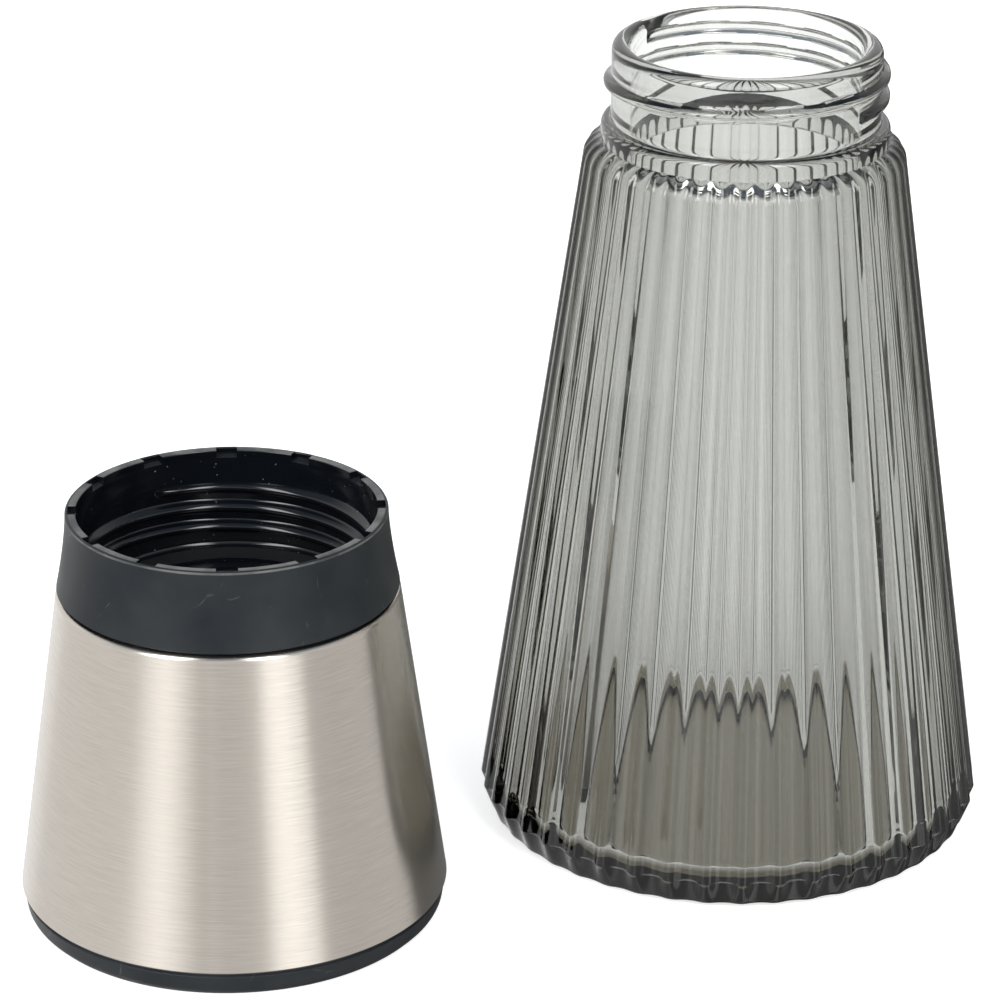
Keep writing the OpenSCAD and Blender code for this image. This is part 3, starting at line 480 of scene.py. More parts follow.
def rim_wear(tree, coordinates, rim_z, rim_r):
    """Share of uneven wear on a rim of a height and a radius: its flat top and its outer edge."""
    height = add_node(tree, "SeparateXYZ", {"Vector": coordinates}).outputs["Z"]
    level_spot = add_node(tree, "VectorMath", {0: coordinates, 1: (1.0, 1.0, 0.0)}, operation="MULTIPLY")
    away = add_node(tree, "VectorMath", {0: level_spot, 1: (HEAD_X, HEAD_Y, 0.0)}, operation="DISTANCE")
    top = add_node(tree, "MapRange",
                   {"Value": height, "From Min": rim_z - 0.1 * MM, "From Max": rim_z - 0.03 * MM})
    inner = add_node(tree, "MapRange", {"Value": away, "From Min": rim_r - 0.5 * MM,
                                        "From Max": rim_r - 0.4 * MM, "To Min": 0.8, "To Max": 0.0})
    upper = add_node(tree, "MapRange",
                     {"Value": height, "From Min": rim_z - 0.45 * MM, "From Max": rim_z - 0.38 * MM})
    outer = add_node(tree, "MapRange", {"Value": away, "From Min": rim_r - 0.13 * MM,
                                        "From Max": rim_r - 0.05 * MM, "To Max": 0.7})
    face = add_node(tree, "Math", {0: top, 1: inner}, operation="MULTIPLY")
    edge = add_node(tree, "Math", {0: upper, 1: outer}, operation="MULTIPLY")
    worn = add_node(tree, "Math", {0: face, 1: edge}, operation="MAXIMUM")
    grit = marks(tree, coordinates, 4 * MM, 4 * MM, 5.0)
    rubbed = add_node(tree, "MapRange", {"Value": grit, "From Min": 0.35, "From Max": 0.6, "To Min": 0.3})
    return add_node(tree, "Math", {0: worn, 1: rubbed}, operation="MULTIPLY")


def charcoal_plastic(finish, name, rim=None):
    """Moulded ABS with a satin spark texture: soft broad gloss and faint scuffs.

    rim gives the height and the radius of a rim that has been rubbed pale.
    """
    material, tree, coordinates = new_material(name)
    cloud = marks(tree, coordinates, 9 * MM, 9 * MM, 3.0)
    tone = add_node(tree, "MapRange", {**NOISE_SPAN, "Value": cloud, "To Max": 0.07})
    pale = rgba(finish.scuff)
    base = add_node(tree, "Mix", {"Factor": tone, "A": rgba(finish.charcoal), "B": pale}, data_type="RGBA")
    scuff = scratches(tree, coordinates)
    if rim:
        worn = rim_wear(tree, coordinates, *rim)
        scuff = add_node(tree, "Math", {0: scuff, 1: worn}, operation="MAXIMUM")
    shade = add_node(tree, "Mix", {"Factor": scuff, "A": base, "B": pale}, data_type="RGBA")
    rough = add_node(tree, "MapRange", {**NOISE_SPAN, "Value": cloud, "To Min": 0.4, "To Max": 0.52})
    coat(tree, marks(tree, coordinates, 0.25 * MM, 0.25 * MM), 0.008 * MM,
         {"Base Color": shade, "Roughness": rough, "IOR": ABS_IOR, "Specular IOR Level": 0.28})
    return material


def gloss_black_plastic(finish, name, specks):
    """Polished ABS straight from the tool: near black, sharp gloss, with some stray specks of salt and dust.

    The specks are drawn about twice as coarse as they are, so that they show in a render.
    """
    material, tree, coordinates = new_material(name)
    grains = add_node(tree, "TexVoronoi", {"Vector": coordinates, "Scale": 1 / (1.15 * MM)}, feature="F1")
    dot = add_node(tree, "MapRange",
                   {"Value": grains, "From Min": 0.06, "From Max": 0.12, "To Min": 1.0, "To Max": 0.0})
    drift = marks(tree, coordinates, 7 * MM, 7 * MM)
    cluster = add_node(tree, "MapRange",
                       {"Value": drift, "From Min": 0.5, "From Max": 0.68, "To Max": specks})
    dust = add_node(tree, "Math", {0: dot, 1: cluster}, operation="MULTIPLY")
    shade = add_node(tree, "Mix", {"Factor": dust, "A": rgba(finish.gloss_black), "B": rgba(finish.dust)},
                     data_type="RGBA")
    rough = add_node(tree, "MapRange", {**NOISE_SPAN, "Value": drift, "To Min": 0.07, "To Max": 0.16})
    coat(tree, marks(tree, coordinates, 3 * MM, 3 * MM), 0.003 * MM,
         {"Base Color": shade, "Roughness": rough, "IOR": ABS_IOR})
    return material


def brushed_steel(finish):
    """Stainless steel brushed round the cone: fine level lines, and gloss that spreads across them.

    The brush lines are drawn a few times coarser than they are, so that they show in a render.
    """
    material, tree, coordinates = new_material("brushed_stainless_steel")
    fine = marks(tree, coordinates, 5 * MM, 0.14 * MM, 4.0, 0.65)
    broad = marks(tree, coordinates, 30 * MM, 1.1 * MM)
    both = add_node(tree, "Math", {0: broad, 1: 0.12, 2: fine}, operation="MULTIPLY_ADD")
    span = {"Value": both, "From Min": 0.36, "From Max": 0.76}
    tone = add_node(tree, "MapRange", {**span, "To Min": 0.9, "To Max": 1.06})
    shade = add_node(tree, "VectorMath", {0: finish.steel, "Scale": tone}, operation="SCALE")
    rough = add_node(tree, "MapRange", {**span, "To Min": 0.27, "To Max": 0.2})
    tangent = add_node(tree, "Tangent", direction_type="UV_MAP", uv_map="turn")
    coat(tree, fine, 0.003 * MM,
         {"Base Color": shade, "Roughness": rough, "Metallic": 1.0, "Tangent": tangent, "Anisotropic": 0.8,
          "Anisotropic Rotation": 0.25})
    return material


def worked_metal(name, values, grain, streak, depth, rough_low, rough_high):
    """Bare or plated metal with the marks of its making.

    grain and streak are the width and the height of the marks, and depth is their depth, all in metres.
    """
    material, tree, coordinates = new_material(name)
    span = {**NOISE_SPAN, "Value": marks(tree, coordinates, grain, streak, 3.0)}
    tone = add_node(tree, "MapRange", {**span, "To Min": 0.82, "To Max": 1.05})
    shade = add_node(tree, "VectorMath", {0: values, "Scale": tone}, operation="SCALE")
    rough = add_node(tree, "MapRange", {**span, "To Min": rough_low, "To Max": rough_high})
    coat(tree, span["Value"], depth, {"Base Color": shade, "Roughness": rough, "Metallic": 1.0})
    return material


def dense_solid(name, values, variation, grain, depth, rough, ior):
    """Ceramic, silicone or acetal: an even, faintly mottled colour and a skin with a grain in metres."""
    material, tree, coordinates = new_material(name)
    span = {**NOISE_SPAN, "Value": marks(tree, coordinates, 4 * MM, 4 * MM, 4.0)}
    tone = add_node(tree, "MapRange", {**span, "To Min": 1 - variation})
    shade = add_node(tree, "VectorMath", {0: values, "Scale": tone}, operation="SCALE")
    uneven = add_node(tree, "MapRange", {**span, "To Min": rough - 0.06, "To Max": rough + 0.06})
    coat(tree, marks(tree, coordinates, grain, grain), depth,
         {"Base Color": shade, "Roughness": uneven, "IOR": ior})
    return material


class MILL_OT_glass_jar(bpy.types.Operator):
    """Makes the pressed glass jar with its flutes, flange, screw thread and rounded lip"""

    bl_idname = "mill.glass_jar"
    bl_label = "Glass jar"

    def execute(self, context):
        jar, finish = context.scene.mill_jar, context.scene.mill_finish
        mesh = surface("jar_glass", self.outside_and_inside(jar), crease=60.0)
        place(mesh, "jar", "smoke_glass", "glass_jar", smoke_glass(finish))
        return {"FINISHED"}

    @classmethod
    def outside_and_inside(cls, jar):
        """Grid of the jar: one profile from the foot's middle, up the outside, over the lip and to the floor.

        Each point of the side moves in along the profile's normal by the depth of the flutes, and the neck
        moves out by the thread's height times its swell.
        """
        turn = turn_angles(jar.flute_count * jar.flute_steps)
        foot_r, neck_r = jar.foot_diameter / 2, jar.neck_diameter / 2
        underside = line((foot_r * FAN_SHARE, 0), (foot_r, 0), 4)
        side, fade, heel, shoulder, lean = cls.side(jar)
        normal = outward(side)
        depth = np.pi * side[:, :1] / jar.flute_count * cls.flute_section(jar, turn) * fade
        fluted = side[:, :, None] - normal[:, :, None] * depth[:, None, :]
        neck = cls.neck(jar, side[-1, 1])
        swell = thread_swell(jar, turn, neck[:, 1:], jar.thread_start, jar.thread_end,
                             jar.height - jar.thread_drop, jar.thread_pitch)
        flange_z = jar.height - jar.neck_height
        threaded = (neck[:, :1] > neck_r - 1e-6) & (neck[:, 1:] > flange_z + jar.flange_fillet)
        inside = cls.inside(jar, heel, shoulder, lean)
        return np.concatenate([
            wrap(underside[:, :1], underside[:, 1:], turn),
            wrap(fluted[:, 0], np.maximum(fluted[:, 1], 0), turn),
            wrap(neck[:, :1] + jar.thread_height * swell * threaded, neck[:, 1:], turn),
            wrap(inside[:, :1], inside[:, 1:], turn),
        ])

    @staticmethod
    def flute_section(jar, turn):
        """Depth of the flutes round the turn, in shares of half their spacing.

        Across a flute the section is a hollow arc and a rounded ridge that meet at the flute's slope, so the
        full depth is tan(slope / 2).
        """
        share = (turn - jar.flute_turn) * jar.flute_count / (2 * np.pi)
        across = 2 * np.abs(share - np.round(share))
        meet = 1 - jar.ridge_share
        hollow_r, ridge_r = meet / math.sin(jar.flute_slope), jar.ridge_share / math.sin(jar.flute_slope)
        full = math.tan(jar.flute_slope / 2)
        hollow = full - hollow_r + np.sqrt(np.maximum(hollow_r ** 2 - across ** 2, 0))
        ridge = ridge_r - np.sqrt(np.maximum(ridge_r ** 2 - (1 - across) ** 2, 0))
        return np.where(across < meet, hollow, ridge)

    @staticmethod
    def side(jar):
        """Profile from the foot to the flange, with the flutes' share, the straight side's ends and its lean.

        The side is the tangent from the widest edge to the shoulder's arc. Under the widest edge the flutes
        fade evenly with the height, and over the shoulder they fade to nothing with the square of the turn.
        """
        base_r, flange_r = jar.base_diameter / 2, jar.flange_diameter / 2
        centre = (jar.shoulder_diameter / 2 - jar.shoulder_round,
                  jar.height - jar.neck_height - jar.shoulder_drop)
        drop, run = jar.heel_height - centre[1], base_r - centre[0]
        lean = math.degrees(math.atan2(drop, run) + math.acos(jar.shoulder_round / math.hypot(drop, run)))
        under = -math.degrees(jar.heel_slope)
        turned_in = math.degrees(math.acos((flange_r - centre[0]) / jar.shoulder_round))
        inset = jar.heel_edge / math.cos(math.radians((lean - under) / 2))
        heel_centre = arc_point((base_r, jar.heel_height), -inset, (lean + under) / 2)
        heel_edge = arc(heel_centre, jar.heel_edge, under, lean, 6)
        foot_z = jar.foot_lift + jar.foot_round
        foot_rise = heel_edge[0, 1] - foot_z + jar.foot_round * math.sin(jar.heel_slope)
        foot_in = foot_rise * math.tan(jar.heel_slope) + jar.foot_round * math.cos(jar.heel_slope)
        foot = arc((heel_edge[0, 0] - foot_in, foot_z), jar.foot_round, -88, under, 9)
        heel, shoulder = heel_edge[-1], arc_point(centre, jar.shoulder_round, lean)
        turn_in = np.linspace(0, 1, 18)
        profile = np.concatenate([
            foot,
            between(foot[-1], heel_edge[0], 4),
            heel_edge,
            between(heel, shoulder, 8),
            arc(centre, jar.shoulder_round, lean, turned_in, len(turn_in)),
        ])
        fade = np.interp(profile[:, 1:], (foot[-1, 1], heel[1]), (jar.heel_flutes, 1))
        fade[-len(turn_in):, 0] = 1 - turn_in ** 2
        return profile, fade, heel, shoulder, lean

    @staticmethod
    def neck(jar, side_top):
        """Profile from the side's top up the flange, over its rounded edge and up the neck to the lip."""
        flange_r, neck_r, lip_r = jar.flange_diameter / 2, jar.neck_diameter / 2, jar.neck_wall / 2
        flange_z, lip_z = jar.height - jar.neck_height, jar.height - lip_r
        edge, fillet = jar.flange_round, jar.flange_fillet
        return np.concatenate([
            line((flange_r, side_top + 1.5 * ROW_GAP), (flange_r, flange_z - edge), 6),
            arc((flange_r - edge, flange_z - edge), edge, 15, 90, 5),
            arc((neck_r + fillet, flange_z + fillet), fillet, 270, 180, 4),
            line((neck_r, flange_z + 2 * fillet), (neck_r, lip_z), 42),
            arc((neck_r - lip_r, lip_z), lip_r, 12, 168, 11),
        ])

    @staticmethod
    def inside(jar, heel, shoulder, lean):
        """Profile from the lip down the neck, out under the shoulder, down the wall and over the floor."""
        mouth_r, lip_z = jar.neck_diameter / 2 - jar.neck_wall, jar.height - jar.neck_wall / 2
        hollow_share = 1 - math.pi / jar.flute_count * math.tan(jar.flute_slope / 2)
        floor_r, top_r = heel[0] * hollow_share - jar.wall, shoulder[0] * hollow_share - jar.wall
        bend, ceiling = jar.ceiling_bend, shoulder[1] - jar.ceiling_drop
        dish_round = (jar.dish_width ** 2 + jar.dish_height ** 2) / (2 * jar.dish_height)
        dish = (floor_r - jar.dish_width, jar.floor + dish_round)
        climb = math.degrees(math.asin(jar.dish_width / dish_round))
        return np.concatenate([
            line((mouth_r, lip_z), (mouth_r, ceiling + 1.2 * bend), 6),
            arc((mouth_r + bend, ceiling + bend), bend, 180, 262, 6),
            arc((top_r - bend, ceiling - bend), bend, 82, lean, 7),
            between((top_r, ceiling - bend), arc_point(dish, dish_round, climb - 90), 6),
            arc(dish, dish_round, climb - 94, -90, 16),
            between((dish[0], jar.floor), (dish[0] * FAN_SHARE, jar.floor), 3),
        ])


class MILL_OT_threaded_collar(bpy.types.Operator):
    """Makes the screw collar with its thread and notches, and the hub and spokes below it"""

    bl_idname = "mill.threaded_collar"
    bl_label = "Threaded collar"

    # Rows of faces on the spigot, at the start of the collar's outside.
    SPIGOT_ROWS = 7
    # Half the turn over which a notch's side runs, in radians.
    NOTCH_SIDE = 0.002

    def execute(self, context):
        head, finish = context.scene.mill_head, context.scene.mill_finish
        rim = (head.rim_height, head.rim_diameter / 2)
        satin = charcoal_plastic(finish, "satin_charcoal_abs_worn_rim", rim)
        gloss = gloss_black_plastic(finish, "polished_black_abs", specks=0.35)
        points, bands = self.ring_with_thread(head)
        mesh = surface("collar_ring", points, ring=True, bands=bands, crease=45.0)
        place(mesh, "collar", "charcoal_plastic", "threaded_collar", satin, gloss)
        mesh = surface("collar_hub", self.hub(head), ring=True)
        place(mesh, "collar", "black_plastic", "threaded_collar", gloss)
        for number in range(head.spoke_count):
            mesh = surface(f"collar_spoke_{number + 1}", self.spoke(head, number))
            place(mesh, "collar", "black_plastic", "threaded_collar", gloss)
        return {"FINISHED"}

    @classmethod
    def ring_with_thread(cls, head):
        """Grid of a closed profile turned round the head's axis, and the material slot of each of its faces.

        The profile runs from the spigot up the outside, over the rim, down the socket and back through the
        throat. The socket's wall moves in by the thread's height times its swell, and the rim's inner edge
        moves out by a notch's depth in each notch. The outside and the notches' shelves are satin.
        """
        rim_z, mouth_r, socket_r = head.rim_height, head.mouth_diameter / 2, head.socket_diameter / 2
        shelf_z, wall_z, floor_z = (rim_z - depth for depth in (head.notch_height, head.mouth_depth,
                                                               head.socket_depth))
        edge, corner = head.rim_inner_round, head.socket_corner
        outside, inside = cls.outside(head), cls.socket_floor(head, floor_z)
        rim_edge = arc((mouth_r + edge, rim_z - edge), edge, 90, 180, 4)
        notched = line((mouth_r, rim_z - 1.5 * edge), (mouth_r, shelf_z + head.notch_ramp), 4)
        mouth = line((mouth_r, shelf_z), (socket_r, wall_z), 8)
        threaded = line((socket_r, wall_z - ROW_GAP), (socket_r, floor_z + corner), 130)
        half = head.notch_width / head.mouth_diameter
        middles = head.notch_turn + np.arange(head.notch_count) * 2 * np.pi / head.notch_count
        sides = np.concatenate([middles - half, middles + half])
        turn = turn_angles(420, np.concatenate([sides - cls.NOTCH_SIDE, sides + cls.NOTCH_SIDE]))
        apart = np.abs(np.mod(turn - middles[:, None] + np.pi, 2 * np.pi) - np.pi).min(axis=0, keepdims=True)
        cut = apart < half
        swell = thread_swell(head, -turn, threaded[:, 1:], -head.thread_start,
                             2 * np.pi * head.thread_turns - head.thread_start,
                             rim_z - head.thread_top - head.thread_pitch * head.thread_start / (2 * np.pi),
                             -head.thread_pitch)
        moves = (0 * turn, head.notch_depth * cut, head.notch_depth * cut, 0 * turn,
                 -head.thread_height * swell, 0 * turn)
        parts = (outside, rim_edge, notched, mouth, threaded, inside)
        radius = np.concatenate([part[:, :1] + move for part, move in zip(parts, moves)])
        height = np.concatenate(parts)[:, 1:]
        satin, gloss = 0, 1
        bands = np.full((len(height), turn.size), gloss)
        bands[cls.SPIGOT_ROWS:len(outside) + len(rim_edge) // 2] = satin
        shelf = len(outside) + len(rim_edge) + len(notched) - 1
        bands[shelf] = np.where(cut & np.roll(cut, -1, axis=1), satin, gloss)
        return wrap(radius, height, turn, (HEAD_X, HEAD_Y)), bands

    @staticmethod
    def outside(head):
        """Profile up the spigot and its clip groove and up the collar, flared by a power of the drop."""
        rim_z, seam_z = head.rim_height, head.sleeve_top + head.seam_gap
        rim_r, seam_r, body_r = head.rim_diameter / 2, head.collar_diameter / 2, head.collar_body_diameter / 2
        throat_r, spigot_r = head.throat_diameter / 2, head.spigot_diameter / 2
        groove_r, edge, chamfer = spigot_r - head.clip_groove, head.rim_round, head.collar_chamfer
        climb = np.linspace(0, 1, 20)
        return np.concatenate([
            line((throat_r, COLLAR_LOW.z), (spigot_r, COLLAR_LOW.z)),
            line((spigot_r, CLIP_LOW.z - SLACK), (groove_r, CLIP_LOW.z - SLACK)),
            line((groove_r, CLIP_HIGH.z + SLACK), (spigot_r, CLIP_HIGH.z + SLACK)),
            line((spigot_r, WASHER_TOP), (body_r, WASHER_TOP)),
            line((body_r, seam_z), (seam_r - chamfer, seam_z)),
            np.stack([rim_r + (seam_r - rim_r) * (1 - climb) ** head.collar_flare,
                      seam_z + chamfer + (rim_z - edge - seam_z - chamfer) * climb], axis=1),
            arc((rim_r - edge, rim_z - edge), edge, 15, 90, 5),
        ])

    @staticmethod
    def socket_floor(head, floor_z):
        """Profile over the socket's floor: its rounded corner, the seal's groove and the throat's edge."""
        corner, edge = head.socket_corner, head.throat_round
        corner_r = head.socket_diameter / 2 - corner
        seal_out = SEAL_HIGH.x - HEAD_X + 2 * SLACK
        seal_in, groove_z = seal_out - head.seal_groove_width, floor_z - head.seal_groove
        return np.concatenate([
            arc((corner_r, floor_z + corner), corner, 0, -90, 6),
            line((seal_out, floor_z), (seal_out, groove_z)),
            line((seal_in, groove_z), (seal_in, floor_z)),
            arc((head.throat_diameter / 2 + edge, floor_z - edge), edge, 90, 180, 5),
        ])

    @staticmethod
    def hub(head):
        """Round boss with a square bore, whose radius is half the square over the larger of |cos|, |sin|."""
        low, edge, hub_r = HUB_TOP - head.hub_height, head.hub_edge, head.hub_diameter / 2
        turn = turn_angles(96, np.radians([45, 135, 225, 315]))
        bore = (head.bolt_square / 2 + SLACK) / np.maximum(np.abs(np.cos(turn)), np.abs(np.sin(turn)))
        outside = np.concatenate([
            line((hub_r - edge, low), (hub_r, low + edge)),
            arc((hub_r - edge, HUB_TOP - edge), edge, 0, 90, 5),
        ])
        radius = np.concatenate([outside[:, :1] + 0 * turn, bore, bore])
        height = np.concatenate([outside[:, 1:], [[HUB_TOP], [low]]])
        return wrap(radius, height, turn, (HEAD_X, HEAD_Y))

    @staticmethod
    def spoke(head, number):
        """Bar from the hub to the spigot: a rounded rectangle carried straight out from the axis."""
        aim = math.radians(90) + number * 2 * np.pi / head.spoke_count
        top, low = HUB_TOP - head.spoke_drop, HUB_TOP - head.hub_height + head.spoke_lift
        reach = np.linspace(head.hub_diameter / 2 - head.spoke_root,
                            head.throat_diameter / 2 + head.spoke_root, 6)[:, None]
        corner = head.spoke_round
        spot = np.radians(np.arange(0, 360, 15))[None, :]
        side = np.sign(np.cos(spot)) * (head.spoke_width / 2 - corner) + corner * np.cos(spot)
        lift = (low + top) / 2 + np.sign(np.sin(spot)) * ((top - low) / 2 - corner) + corner * np.sin(spot)
        reach, side, lift = np.broadcast_arrays(reach, side, lift)
        return np.stack([HEAD_X + reach * math.cos(aim) - side * math.sin(aim),
                         HEAD_Y + reach * math.sin(aim) + side * math.cos(aim), lift], axis=2)


class MILL_OT_steel_sleeve(bpy.types.Operator):
    """Makes the drawn and brushed steel sleeve with its rolled upper edge"""

    bl_idname = "mill.steel_sleeve"
    bl_label = "Steel sleeve"

    def execute(self, context):
        head, finish = context.scene.mill_head, context.scene.mill_finish
        place(surface("steel_sleeve", self.sleeve(head), ring=True), "shell", "brushed_steel", "steel_shell",
              brushed_steel(finish))
        return {"FINISHED"}

    @staticmethod
    def sleeve(head):
        """Closed thin profile turned round the axis: up the outside, over the rolled edge, down inside."""
        low, top = head.sleeve_bottom, head.sleeve_top
        wide_r, top_r = head.sleeve_diameter / 2, head.sleeve_top_diameter / 2
        thick, roll, edge = head.steel_thickness, head.sleeve_round, head.sleeve_edge
        lip_r, centre = top_r - head.sleeve_lip, (top_r - roll, top - roll)
        lean = math.degrees(math.atan((wide_r - top_r) / (top - low)))
        return turned(
            line((wide_r - thick, low), (wide_r - edge, low)),
            between((wide_r, low + edge), arc_point(centre, roll, lean), 24, ROW_GAP / 2),
            arc(centre, roll, lean, 90, 9),
            line((lip_r + edge, top), (lip_r, top - edge)),
            line((lip_r, top - thick), (top_r - thick - head.sleeve_bend, top - thick)),
            line((top_r - thick, top - 2.2 * thick), (wide_r - thick, low + 2 * ROW_GAP), 12),
        )


class MILL_OT_base_ring(bpy.types.Operator):
    """Makes the black ring on which the head stands"""

    bl_idname = "mill.base_ring"
    bl_label = "Base ring"

    def execute(self, context):
        head, finish = context.scene.mill_head, context.scene.mill_finish
        place(surface("foot_ring", self.ring(head), ring=True, crease=25.0), "shell", "charcoal_plastic",
              "base_ring", charcoal_plastic(finish, "satin_charcoal_abs"))
        return {"FINISHED"}

    @staticmethod
    def ring(head):
        """Closed profile turned round the axis: chamfer, tapered side, groove under the steel, spigot."""
        wide_r, bore_r = head.ring_diameter / 2, head.ring_inner_diameter / 2
        top, spigot_top, spigot_r = head.ring_height, head.ring_spigot_top, head.ring_spigot_diameter / 2
        groove_z, groove_r = top - head.ring_groove_height, wide_r - head.ring_groove_depth
        side_r, side_z, edge = wide_r - head.ring_taper, head.ring_chamfer, head.ring_edge
        return turned(
            line((bore_r + edge, 0), (side_r - head.ring_chamfer, 0), 3),
            line((side_r - edge / 2, side_z - edge / 2), (side_r + edge / 4, side_z + edge)),
            line((side_r + edge / 2, side_z + 2 * edge), (wide_r, groove_z - edge), 4),
            line((wide_r - edge, groove_z), (groove_r, groove_z + ROW_GAP / 5)),
            line((groove_r, top), (spigot_r, top)),
            line((spigot_r, spigot_top - edge), (spigot_r - edge, spigot_top)),
            line((bore_r + edge, spigot_top), (bore_r, spigot_top - edge)),
            line((bore_r, edge * 2), (bore_r, edge)),
        )


class MILL_OT_cone_spring(bpy.types.Operator):
    """Makes the spring round the bolt at one fixed length; the real spring shortens when the cone is screwed
    up
    """

    bl_idname = "mill.cone_spring"
    bl_label = "Cone spring"

    def execute(self, context):
        head, finish = context.scene.mill_head, context.scene.mill_finish
        # Drawn wire and rolled strip: dark bare steel with long fine draw marks.
        steel = worked_metal("drawn_spring_steel", finish.spring, 0.2 * MM, 2.0 * MM, 0.004 * MM, 0.26, 0.4)
        piece = stand_in(surface("spring_coil", self.coil(head)), "spring_steel", "cone_spring", steel)
        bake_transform(piece)
        return {"FINISHED"}

    @staticmethod
    def coil(head):
        """Round wire carried along a helix: the middle turns about the bolt while it climbs evenly."""
        wire_r = head.spring_wire / 2
        coil_r = (SPRING_HIGH.x - SPRING_LOW.x) / 2 - wire_r
        along = np.linspace(0, 1, 160)[:, None]
        turn = along * head.spring_turns * 2 * np.pi
        climb = SPRING_LOW.z + wire_r + along * (SPRING_HIGH.z - SPRING_LOW.z - head.spring_wire)
        spot = np.radians(np.arange(0, 360, 30))[None, :]
        return wrap(coil_r - wire_r * np.cos(spot), climb + wire_r * np.sin(spot), turn, (HEAD_X, HEAD_Y))


class MILL_OT_inner_parts(bpy.types.Operator):
    """Gives the burrs, bolt, screws and other inner parts their finishes"""

    bl_idname = "mill.inner_parts"
    bl_label = "Inner parts"

    def execute(self, context):
        finish = context.scene.mill_finish
        black = gloss_black_plastic(finish, "polished_black_abs_clean", specks=0.1)
        # Zinc plate: bright, with a soft cloudy bloom.
        zinc = worked_metal("bright_zinc_plate", finish.zinc, 1.5 * MM, 1.5 * MM, 0.004 * MM, 0.22, 0.36)
        # Turned brass: level tool marks round the bar.
        brass = worked_metal("turned_brass", finish.brass, 6.0 * MM, 0.15 * MM, 0.005 * MM, 0.2, 0.34)
        # Sintered alumina: matt, dense and faintly mottled.
        ceramic = dense_solid("sintered_alumina", finish.ceramic, 0.08, 0.2 * MM, 0.01 * MM, 0.42, 1.76)
        # Moulded silicone: soft black skin without gloss.
        silicone = dense_solid("moulded_silicone", finish.silicone, 0.2, 0.3 * MM, 0.01 * MM, 0.62, 1.41)
        # Moulded acetal: waxy off-white.
        acetal = dense_solid("moulded_acetal", finish.acetal, 0.05, 0.4 * MM, 0.006 * MM, 0.36, 1.48)
        charcoal, spring = (bpy.data.materials[name] for name in ("satin_charcoal_abs", "drawn_spring_steel"))
        finishes = {
            black: ("shell_liner", "burr_housing", "ring_clamp", "cone_core"),
            zinc: ("grinder_bolt", "bolt_washer", "housing_screws", "clamp_screws", "knob_washer"),
            ceramic: ("ceramic_ring", "ceramic_cone"),
            brass: ("knob_nut",),
            silicone: ("neck_seal",),
            acetal: ("slide_washer",),
            charcoal: ("adjuster_knob",),
            spring: ("retaining_clip",),
        }
        for material, nodes in finishes.items():
            for node in nodes:
                slots = frame["nodes"][node].data.materials
                slots.clear()
                slots.append(material)
        return {"FINISHED"}


